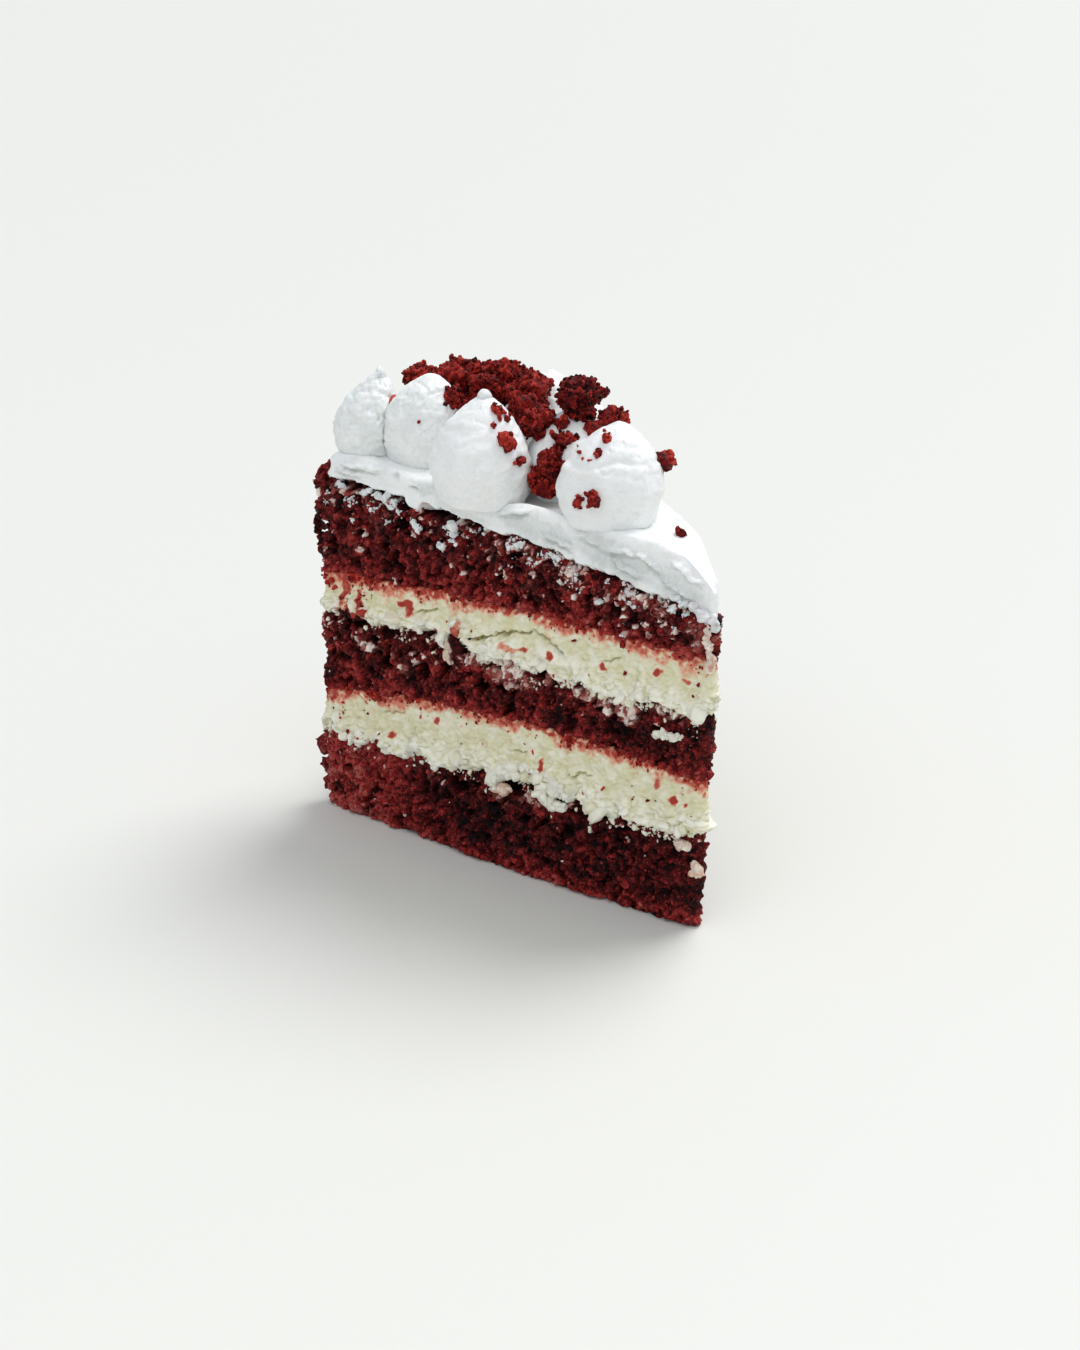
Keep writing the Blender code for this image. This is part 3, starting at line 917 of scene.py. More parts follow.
# In both cream finishes fold is partly the colour of painted shade.
CREAM_FILLING = CreamFinish(
    "cream_filling",
    body=shade(250, 247, 230),
    fold=shade(222, 217, 174),
    stain=(shade(230, 150, 120), shade(172, 46, 26)),
)
WHITE_FROSTING = CreamFinish(
    "white_frosting",
    body=shade(250, 252, 250),
    fold=shade(204, 210, 207),
    stain=(shade(226, 180, 182), shade(120, 24, 24)),
    grain_scale=1100.0,
    softness=0.3,
)


# --- Sub-assemblies. In each, seed + n picks one pattern of noise.


@dataclass
class Wall:
    """The outline carried up between two heights, upright, before it is roughened."""

    places: Floats
    out: Floats
    left: Floats
    rim: Floats
    along: Floats

    @property
    def height(self) -> Floats:
        """Each place's height above the plate."""
        return self.places[..., 2]

    @property
    def level(self) -> Floats:
        """Each place's share of the way from the wall's foot to its head."""
        return (self.height - self.height[0]) / (self.height[-1] - self.height[0])

    def poles(self, low: Floats, high: Floats) -> Floats:
        """The two poles: over the middle of the foot's plan, at the mean of two rows of heights."""
        return np.array([[*self.places[0, :, :2].mean(0), row.mean()] for row in (low, high)])

    def marked(self, marks: tuple[Mark, ...], warp: float, seed: int) -> Floats:
        """How strongly each place on the left cut face is marked: ragged ellipses with soft edges.

        The places are first shifted by noise, so that the ellipses' edges come out ragged.

        Args:
            marks: The spots.
            warp: How far the noise shifts a place, in mm.
            seed: Seed of the noise.

        Returns:
            From 0 to the strongest mark's strength.
        """
        total = np.zeros(self.along.shape)
        flat = np.stack([self.along, self.height, total], axis=-1)
        u = self.along / MM + warp * layered(flat, 3 * MM, 2, seed)
        v = self.height / MM + warp * layered(flat, 3 * MM, 2, seed + 1)
        for mark in marks:
            c, s = math.cos(math.radians(mark.turn)), math.sin(math.radians(mark.turn))
            x, y = u - mark.along, v - mark.height
            away = np.hypot((x * c + y * s) / mark.wide, (y * c - x * s) / mark.tall)
            total = np.maximum(total, mark.strength * (1 - ease(0.6, 1.15, away)))
        return total * self.left


def raise_wall(outline: Outline, low: Floats, high: Floats, rows: int) -> Wall:
    """Carries the outline from one height to another in even steps.

    Args:
        outline: The plan.
        low: Height of the foot at each outline point.
        high: Height of the head at each outline point.
        rows: Number of rings.

    Returns:
        The wall, bowed as the slice is.
    """
    heights = low + np.linspace(0, 1, rows)[:, None] * (high - low)
    reach = FORM.bow(FORM.from_tip(outline.points), outline.on_left(), heights)
    plan = outline.points + outline.normals * reach[..., None]
    places = np.concatenate([plan, heights[..., None]], axis=-1)
    level_out = np.column_stack([outline.normals, np.zeros(len(outline.normals))])
    shape = heights.shape
    out = np.broadcast_to(level_out, places.shape)
    left, rim = np.broadcast_to(outline.on_left(), shape), np.broadcast_to(outline.on_rim(), shape)
    return Wall(places, out, left, rim, FORM.along(plan))


@dataclass(frozen=True)
class Pits:
    """Round pits of one kind: cell width, share of the cells that have one, depth and painted shade's
    darkness.
    """

    cell: float
    share: float
    depth: float
    dark: float


@dataclass
class SpongeLayer:
    """One layer of red crumb: a cut wall full of granules and pores, with loose grains on it."""

    name: str
    foot: Boundary
    head: Boundary
    seed: int
    rows: int = 74
    grain_count: int = 3000
    soft: float = 0.7 * MM
    torn: float = 0.7 * MM
    bead: float = 0.55 * MM
    film: float = 0.35 * MM
    proud: float = 0.4 * MM
    end_tuck: float = 0.6 * MM
    jitter: float = 0.3 * MM
    pits: tuple[Pits, ...] = (
        Pits(4.4 * MM, 0.55, 1.5 * MM, 0.45),
        Pits(2.3 * MM, 0.75, 0.9 * MM, 0.35),
        Pits(1.2 * MM, 0.8, 0.45 * MM, 0.25),
    )
    pore: float = 2.4 * MM
    pores_from: float = 0.3
    under_head: float = 0.9 * MM
    clumps: Rows = ()
    pockets: tuple[Mark, ...] = ()
    pocket_depth: float = 4.5 * MM
    smears: tuple[Mark, ...] = ()
    flecks: float = 0.0
    lace_reach: float = 2.5
    glow: float = 0.35
    dark_core: float = 0.0
    warm: float = 0.0

    def build(self, outline: Outline, finish: Material) -> tuple[Wall, Skin]:
        """Builds the layer and dresses it.

        Args:
            outline: The plan, finely spaced.
            finish: The sponge material.

        Returns:
            The plain wall and the roughened one.
        """
        low, high = FORM.height(self.foot, outline.points), FORM.height(self.head, outline.points)
        wall = raise_wall(outline, low, high, self.rows)
        skin = CutWall(self, wall).skin()
        skins = [skin, self.corner_clumps()] if self.clumps else [skin]
        add_piece(self.name + "_crumb", skins, finish, (self.name,))
        add_piece(self.name + "_grains", [self.loose_grains(wall, skin)], finish)
        return wall, skin

    def corner_clumps(self) -> Skin:
        """Torn crumb that stands out at the rim's corner: along, depth, height and width in mm."""
        rows = np.array(self.clumps) * MM
        centres = FORM.leaned(np.column_stack([FORM.plan(rows[:, 0], rows[:, 1]), rows[:, 2]]))
        sizes = rows[:, 3:] * np.random.default_rng(self.seed + 60).uniform(0.85, 1.2, (len(rows), 3))
        lumps = grains(centres, sizes, self.seed + 61, 0.2, FINE_GRID)
        lumps.rings = warped(warped(lumps.rings, 2.0 * MM, 0.7 * MM, 3), 0.9 * MM, 0.35 * MM, 9)
        lumps.masks = {"tone": 0.6 + 0.4 * swell(lumps.rings, 1.1 * MM, self.seed + 62)}
        return lumps

    def loose_grains(self, wall: Wall, skin: Skin) -> Skin:
        """Grains of crumb half sunk in the wall, closer together on the left cut face."""
        rng, count = np.random.default_rng(self.seed), self.grain_count
        rows, columns = wall.left.shape
        weight = 0.35 + 0.65 * wall.left[0]
        column = rng.choice(columns, count, p=weight / weight.sum())
        row = rng.integers(2, rows - 2, count)
        size = MM * np.clip(rng.lognormal(-0.4, 0.38, count), 0.35, 1.8)
        lumps = studded(skin, wall.out, (row, column), size, self.seed + 30)
        fleck = (rng.random(count) < 0.12 * self.flecks) * ease(0.1, 0.9, row / rows)
        fleck = fleck * rng.uniform(0.3, 1.0, count)
        masks = lumps.masks
        masks["tone"] = masks["tone"] + lumps.each(rng.uniform(-0.25, 0.35, count))
        # The grains keep half of the painted shade of the places they stand on.
        masks["pit"] = 0.5 * masks["pit"]
        masks["smear"] = np.maximum(masks["smear"], lumps.each(fleck))
        return lumps


class CutWall:
    """A sponge layer's wall as the knife left it: its patterns, and what is mixed from them."""

    def __init__(self, layer: SpongeLayer, wall: Wall) -> None:
        """Works the patterns out, on places bent first so that the cells are ragged.

        Args:
            layer: The layer, with its sizes.
            wall: Its plain wall.
        """
        places, seed = wall.places, layer.seed
        self.layer, self.wall, self.level = layer, wall, wall.level
        bent = warped(places, 2.0 * MM, 0.8 * MM, seed + 40)
        beads = warped(places, 1.5 * MM, 0.6 * MM, seed + 50)
        ridges = np.abs(layered(bent * np.array([1, 1, 0.55]), 2.2 * MM, 2, seed + 21))
        span = np.maximum(wall.height[-1] - wall.height[0], 1 * MM)
        gap, self.choice = nearest_seed(beads, 1.6 * MM, seed + 51)
        self.bead = rounded(gap)
        self.pick = nearest_seed(bent, 0.9 * MM, seed + 1)[1]
        self.torn = layered(bent, 2.2 * MM, 3, seed + 2)
        self.web = 1 - ease(0.06, 0.26, ridges)
        self.pits = [hollows(bent, pit.cell, pit.share, seed + 7 * k) for k, pit in enumerate(layer.pits)]
        self.pores = ease(layer.pores_from, layer.pores_from + 0.35, -layered(bent, 3.6 * MM, 2, seed + 3))
        self.pockets = wall.marked(layer.pockets, 0.9, seed)
        # The band under the head: sunk in relief, and given painted shade below the frosting's overhang.
        self.shelter = ease(1 - 2.2 * MM / span, 1 - 0.4 * MM / span, self.level)
        self.ends = ease(0, 0.03, self.level) * ease(0, 0.03, 1 - self.level)
        self.smear = self.smeared()
        self.reach = self.relief()

    def smeared(self) -> Floats:
        """Cream on the crumb: films that the knife dragged, and flecks that thin out below the head.

        Returns:
            From 0 to 1.1, more along the web and on some of the beads.
        """
        layer, wall, height = self.layer, self.wall, self.wall.height
        film = wall.marked(layer.smears, 1.2, layer.seed + 9)
        dragged = np.clip(film * (0.5 + 0.8 * self.web), 0, 1.1)
        patch = ease(-0.2, 0.4, layered(wall.places, 5 * MM, 2, layer.seed + 20))
        near = np.clip(1.6 * np.exp((height - height[-1]) / (layer.lace_reach * MM)) * patch, 0, 1)
        chosen = self.choice < 0.55 * layer.flecks * near
        tips = ease(0.55, 0.85, self.bead) * chosen * (0.75 + 0.4 * self.web)
        return np.maximum(dragged, np.maximum(tips, layer.flecks * near * (0.1 + 0.4 * self.web)))

    def relief(self) -> Floats:
        """How far each place stands out: what is raised, less what is sunk, tucked in and inset.

        Returns:
            One distance for each place.
        """
        layer, places = self.layer, self.wall.places
        raised = layer.bead * (self.bead - 0.6) + layer.film * self.smear + layer.torn * self.torn
        raised += layer.proud + layer.soft * layered(places, 9 * MM, 2, layer.seed + 4)
        sunk = layer.pore * self.pores + layer.pocket_depth * self.pockets
        sunk += sum(kind.depth * pit for kind, pit in zip(layer.pits, self.pits))
        sunk += layer.under_head * self.shelter * (0.6 + 0.6 * swell(places, 5 * MM, layer.seed + 13))
        room = FORM.room(places, 0.1, 0.4 * MM)
        reach = np.maximum(raised, -room) - np.minimum(sunk, room) - layer.end_tuck * (1 - self.ends)
        if layer.head is Boundary.FROSTING_FOOT:
            corners = ease(2 * MM, 14 * MM, FORM.from_faces(places[..., :2]))
            reach -= FORM.rim_ledge * self.wall.rim * corners * ease(0.75, 1, self.level)
        return reach

    def masks(self) -> dict[str, Floats]:
        """Its colours: tone with painted light on raised crumb, painted shade in what is sunk, and smear.

        Returns:
            Each mask by its name.
        """
        layer, level, along = self.layer, self.level, self.wall.along
        # Raised torn crumb and the beads' tops are lighter: painted highlights, which the finish turns to
        # glint where strongest.
        tone = 0.3 + 0.4 * (self.pick - 0.5) + 0.3 * self.torn + 0.3 * ease(0.6, 1.0, self.bead)
        tone += 0.3 * layered(self.wall.places, 7 * MM, 2, layer.seed + 8) + 0.1 * self.wall.rim
        tone += layer.warm * ease(75 * MM, 112 * MM, along) + layer.glow * (1 - ease(0.0, 0.3, level))
        tone -= layer.dark_core * np.sin(math.pi * np.clip(level, 0, 1)) * ease(112 * MM, 60 * MM, along)
        # Painted shade: pockets, pores, the band under the frosting, the beads' valleys, the pits and sunk
        # places go towards the deep colour.
        dark = 0.95 * self.pockets + 0.6 * self.pores + 0.45 * self.shelter + 0.25 * ease(0.5, 0.1, self.bead)
        dark += sum(kind.dark * pit for kind, pit in zip(layer.pits, self.pits))
        smear = self.smear * (1 - 0.6 * np.clip(self.pores + self.pockets, 0, 1))
        pit = np.clip(ease(0.6 * MM, 3.0 * MM, -self.reach) + dark, 0, 1)
        return {"tone": tone, "pit": pit * (1 - 0.7 * np.clip(smear, 0, 1)), "smear": smear}

    def skin(self) -> Skin:
        """The wall with each place moved outwards by the relief, and a little aside.

        Returns:
            The closed skin.
        """
        layer, wall = self.layer, self.wall
        shift = layer.jitter * shaken(wall.places, 1.3 * MM, layer.seed + 5) * self.ends[..., None]
        moved = wall.places + wall.out * self.reach[..., None] + shift
        moved[..., 2] = np.maximum(moved[..., 2], 0.0)
        if layer.foot is Boundary.BASE:
            moved[0, :, 2] = 0.0
        return FORM.skin(moved, wall.poles(wall.height[0], wall.height[-1]), self.masks())


@dataclass
class CreamLayer:
    """One filling: curdled cream whose lower edge hangs in ragged lumps over the sponge."""

    name: str
    foot: Boundary
    head: Boundary
    seed: int
    rows: int = 58
    curd: float = 0.75 * MM
    broad: float = 0.5 * MM
    lip: float = 0.95 * MM
    drop: float = 1.9 * MM
    overlap: float = 0.5 * MM
    foot_tuck: float = 1.3 * MM
    head_tuck: float = 0.8 * MM
    bulge: float = 1.3 * MM
    dent: float = 3.2 * MM
    jitter: float = 0.3 * MM
    stains: tuple[Mark, ...] = ()
    dents: tuple[Mark, ...] = ()
    bulges: tuple[Mark, ...] = ()
    hangs: tuple[Drip, ...] = ()

    def build(self, outline: Outline, finish: Material) -> tuple[Wall, Skin]:
        """Builds the layer and dresses it.

        Args:
            outline: The plan, finely spaced.
            finish: The filling's material.

        Returns:
            The plain wall and the roughened one.
        """
        low, high = FORM.height(self.foot, outline.points), FORM.height(self.head, outline.points)
        wall = raise_wall(outline, low - self.fall(outline, low), high + self.overlap, self.rows)
        bent = warped(wall.places * np.array([1, 1, 2.0]), 3.0 * MM, 1.2 * MM, self.seed + 30)
        folds = np.abs(layered(bent, 4.0 * MM, 2, self.seed + 1))
        curds = np.abs(layered(bent, 1.9 * MM, 2, self.seed + 2))
        dents = wall.marked(self.dents, 1.0, self.seed + 5)
        bulges = wall.marked(self.bulges, 0.8, self.seed + 14)
        fine = 0.35 + 0.65 * (1 - ease(0.15, 0.6, wall.level))
        reach = self.curd * fine * (1.9 * folds + 0.9 * curds - 0.6) + self.bulge * bulges - self.dent * dents
        reach = np.maximum(reach + self.edges(wall), -FORM.room(wall.places, 0.1, 0.4 * MM))
        shift = self.jitter * shaken(wall.places, 1.6 * MM, self.seed + 6)
        moved = wall.places + wall.out * reach[..., None] + shift
        # Tone: random, greyer towards the head, painted shade in creases and dents, and painted light on the
        # bulges.
        creased = (1 - ease(0.0, 0.2, folds)) + 0.6 * (1 - ease(0.0, 0.16, curds))
        tone = 0.55 * ease(0.12, 0.5, wall.level) + 0.4 * layered(wall.places, 3.4 * MM, 2, self.seed + 11)
        tone += 0.5 * (0.3 + fine) * creased + dents - 0.5 * bulges
        masks = {"stain": self.stained(wall), "tone": np.clip(tone, 0, 1)}
        skin = FORM.skin(moved, wall.poles(low, high), masks)
        add_piece(self.name + "_curd", [skin], finish, (self.name,))
        return wall, skin

    def fall(self, outline: Outline, low: Floats) -> Floats:
        """How far the lower edge hangs: ragged swells, and on the left face the given drips.

        Args:
            outline: The plan.
            low: Height of the sponge below at each of its points.

        Returns:
            One length for each point.
        """
        edge = np.column_stack([outline.points, low])
        fall = self.drop * (np.clip(layered(edge, 4.2 * MM, 4, self.seed), -0.5, 1) + 0.3)
        for hang in self.hangs:
            near = hang.near(outline)
            fall = fall * (1 - 0.75 * near) + near * hang.tall * MM
        return fall

    def edges(self, wall: Wall) -> Floats:
        """Relief of the lip over the foot in two sizes of lump, less the tucks at foot and head."""
        places, level = wall.places, wall.level
        over = ease(0, 0.1, level) * (1 - ease(0.12, 0.5, level))
        torn = warped(places, 2.4 * MM, 0.9 * MM, self.seed + 33)
        lumps = 0.2 + 1.2 * granules(torn, 3.2 * MM, self.seed + 4)
        lumps += 0.3 * granules(torn, 1.4 * MM, self.seed + 35)
        tucks = self.foot_tuck * (1 - ease(0, 0.06, level)) + self.head_tuck * (1 - ease(0, 0.04, 1 - level))
        return self.broad * layered(places, 7 * MM, 2, self.seed + 3) + self.lip * over * lumps - tucks

    def stained(self, wall: Wall) -> Floats:
        """Red in the cream: what bled from the sponge above, spots, and the given stains."""
        places, depth = wall.places, (wall.height[-1] - wall.height) / MM
        patch = layered(places, 6 * MM, 2, self.seed + 15)
        speck = layered(places, 1.3 * MM, 2, self.seed + 9)
        bleed = np.clip(1.35 - depth / (3.2 + 2.4 * patch), 0, 1) * (0.85 + 0.8 * speck)
        spots = ease(0.5, 0.62, layered(places, 2.2 * MM, 2, self.seed + 10)) * (0.9 - 0.6 * wall.left)
        stains = wall.marked(self.stains, 0.9, self.seed)
        return np.maximum(np.maximum(bleed, stains), spots * ease(9, 3, depth))


@dataclass(frozen=True)
class Scatter:
    """Small lumps of one stuff on a layer of another, thickest at one of the layer's edges.

    The share of the lumps at a level fades from the edge by exp(-distance / reach). Each row of
    stretch is a first and last distance along the left face in mm, and what it adds there.
    """

    name: str
    layer: str
    count: int
    size: float
    at_head: bool
    reach: float
    spread: float
    seed: int
    stuff: Slot
    crag: float
    tone: float = 0.3
    same: bool = False
    grid: tuple[int, int] = ROUND_GRID
    stretch: Rows = ()
    run: int = 1

    def build(self, wall: Wall, skin: Skin, finish: Material) -> None:
        """Builds the lumps as one mesh, on raised places, each drawn out into a short ragged run.

        Args:
            wall: The layer's plain wall.
            skin: Its roughened surface, which the lumps stand on.
            finish: The lumps' material.
        """
        rng = np.random.default_rng(self.seed)
        weight = self.weights(wall, skin)
        picked = rng.choice(weight.size, self.count, p=weight.ravel() / weight.sum())
        size = MM * self.size * np.clip(rng.lognormal(0, 0.42, self.count), 0.4, 2.4)
        row, column = np.unravel_index(picked, weight.shape)
        if self.run > 1:
            rows, columns = weight.shape
            walk = rng.integers(-2, 3, (2, self.count, self.run)).cumsum(axis=2)
            row = np.clip(row[:, None] + walk[0], 2, rows - 2).ravel()
            column = ((column[:, None] + walk[1]) % columns).ravel()
            size = (size[:, None] * rng.uniform(0.6, 1.1, (self.count, self.run))).ravel()
        lumps = studded(skin, wall.out, (row, column), size, self.seed + 1, self.crag, self.grid)
        if not self.same:
            lumps.masks = {"tone": lumps.each(self.tone + rng.uniform(-0.3, 0.4, len(size)))}
        add_piece(self.name, [lumps], finish)

    def weights(self, wall: Wall, skin: Skin) -> Floats:
        """How likely a lump is at each place: near the edge, in patches, mostly out of the pits."""
        height, along = wall.height, wall.along / MM
        away = (height[-1] - height if self.at_head else height - height[0]) / MM
        clumped = ease(-0.25, 0.55, layered(wall.places, 5 * MM, 2, self.seed))
        weight = (np.exp(-away / self.reach) + self.spread) * clumped * (0.3 + 0.7 * wall.left)
        for first, last, more in self.stretch:
            weight = weight * (1 + more * wall.left * ((along > first) & (along < last)))
        weight[:2], weight[-2:] = 0, 0
        return weight * (1 - 0.9 * skin.masks.get("pit", np.zeros((1, *weight.shape)))[0])


@dataclass
class FrostingSlab:
    """The slab of white frosting: torn lower edge, soft folds and a roll down over the tip."""

    rows: int = 34
    top_rows: int = 56
    seed: int = 301
    torn: float = 1.0 * MM
    soft: float = 0.55 * MM
    whipped: float = 0.35 * MM
    belly: float = 0.5 * MM
    curl: float = 0.8 * MM
    foot_tuck: float = 1.2 * MM
    shoulder: float = 1.9 * MM
    thin_tip: float = 0.7 * MM
    stroke: float = 0.28 * MM
    fold: float = 1.5 * MM
    dent: float = 1.8 * MM
    lumps: tuple[Drip, ...] = ()
    dents: tuple[Mark, ...] = ()
    folds: tuple[Mark, ...] = ()
    humps: tuple[Drip, ...] = ()
    # Patches of painted shade on the side, given as grey tone.
    shades: tuple[Mark, ...] = ()

    def build(self, edge: Outline, finish: Material) -> None:
        """Builds the slab and dresses it.

        Args:
            edge: The slab's own plan, set back from the rim.
            finish: The frosting material.
        """
        low, top = FORM.height(Boundary.FROSTING_FOOT, edge.points), FORM.frosting_top(edge.points)
        ragged = layered(np.column_stack([edge.points, low]), 3.2 * MM, 4, self.seed)
        fall = self.torn * (np.clip(ragged, -0.4, 1) + 0.1)
        for lump in self.lumps:
            fall = np.maximum(fall, lump.near(edge) * lump.tall * MM)
        for hump in self.humps:
            top = top + hump.near(edge, 0.1, 1.3) * hump.tall * MM
        wall = raise_wall(edge, low - fall, top, self.rows)
        reach = np.maximum(self.relief(wall), -FORM.room(wall.places, 0.14, 0.9 * MM))
        side = wall.places + wall.out * reach[..., None]
        cover = self.cover(side[-1])
        rings = np.concatenate([side, cover])
        poles = np.stack([wall.poles(low, low)[0], cover[-1].mean(0)])
        skin = FORM.skin(rings, poles, self.masks(wall, rings))
        add_piece("frosting_slab_whipped", [skin], finish, ("frosting_slab",))

    def relief(self, wall: Wall) -> Floats:
        """How far each place of the side stands out.

        Whipped swells and a belly with a curled, tucked foot; all of it fades towards the tip. Then
        the quarter round of the shoulder, horizontal strokes of the knife, folds and dents.

        Args:
            wall: The plain side.

        Returns:
            One distance for each place.
        """
        places, level, seed = wall.places, wall.level, self.seed
        away = FORM.from_tip(places[..., :2])
        reach = self.soft * layered(places, 9 * MM, 2, seed + 1)
        reach += self.whipped * layered(places * np.array([1, 1, 1.6]), 3.4 * MM, 3, seed + 2)
        reach += self.belly * (np.sin(math.pi * level) + ease(0, 0.12, level) * (1 - ease(0.15, 0.4, level)))
        ragged = warped(places, 1.8 * MM, 0.7 * MM, seed + 11)
        reach += self.curl * (granules(ragged, 1.9 * MM, seed + 10) - 0.3) * (1 - ease(0.08, 0.3, level))
        reach -= self.foot_tuck * (1 - ease(0, 0.08, level))
        bend = np.clip((level - 0.66) / 0.34, 0, 1)
        reach = reach * ease(4 * MM, 22 * MM, away) - self.thin_tip * (1 - ease(6 * MM, 30 * MM, away))
        reach -= self.shoulder * (1 - np.sqrt(1 - bend**2))
        bent = wall.height / MM + 2.2 * layered(places, 10 * MM, 2, seed + 13)
        strokes = np.sin(bent / 0.75) * ease(-0.1, 0.4, swell(places, 12 * MM, seed + 14))
        reach += self.stroke * strokes * ease(0.2, 0.5, level) * ease(5 * MM, 20 * MM, away)
        folds, dents = wall.marked(self.folds, 0.8, seed + 4), wall.marked(self.dents, 0.3, seed + 3)
        return reach + self.fold * folds - self.dent * dents

    def masks(self, wall: Wall, rings: Floats) -> dict[str, Floats]:
        """Painted shade under the folds and in the given shades, random grey tone, and pink along the side's
        foot.
        """
        side = slice(self.rows)
        tone = 0.05 + 0.2 * layered(rings, 6 * MM, 2, self.seed + 5)
        # Painted shade just below each fold: the folds moved 1.2 mm down.
        under = tuple(replace(fold, height=fold.height - 1.2) for fold in self.folds)
        tone[side] += wall.marked(self.shades, 1.5, self.seed + 12)
        tone[side] += 0.55 * wall.marked(under, 0.8, self.seed + 4)
        stain = np.zeros(rings.shape[:2])
        pinked = ease(0.2, 0.6, layered(wall.places, 2.6 * MM, 2, self.seed + 6))
        stain[side] = 0.45 * pinked * (1 - ease(0.02, 0.14, wall.level))
        return {"tone": np.clip(tone, 0, 1), "stain": stain}

    def cover(self, edge: Floats) -> Floats:
        """The slab's top: rings drawn in from its edge, on the frosting's height, with strokes.

        The strokes are waves that run along the slice, bent by noise.

        Args:
            edge: The highest ring of the slab's side.

        Returns:
            Rings from just inside the edge to the middle.
        """
        share = (np.arange(self.top_rows) + 1) / self.top_rows
        scale = 1 - 0.93 * share**1.45
        centre = np.array(FORM.tip) + np.array([0, 0.6 * FORM.radius])
        plan = centre + scale[:, None, None] * (edge[None, :, :2] - centre)
        places = np.concatenate([plan, FORM.frosting_top(plan)[..., None]], axis=-1)
        bent = 2.5 * layered(places * np.array([1, 0.35, 1]), 9 * MM, 2, self.seed + 7)
        strokes = np.sin(plan[..., 0] / (1.5 * MM) + bent)
        start = ease(0, 0.12, share)[:, None] * ease(8 * MM, 32 * MM, FORM.from_tip(plan))
        drop = MM * start * (0.45 - 0.22 * strokes - 0.35 * layered(places, 7 * MM, 2, self.seed + 8))
        gap = (edge[:, 2] - FORM.frosting_top(edge[:, :2])) * (1 - ease(0, 0.16, share))[:, None]
        places[..., 2] += gap - drop
        return places


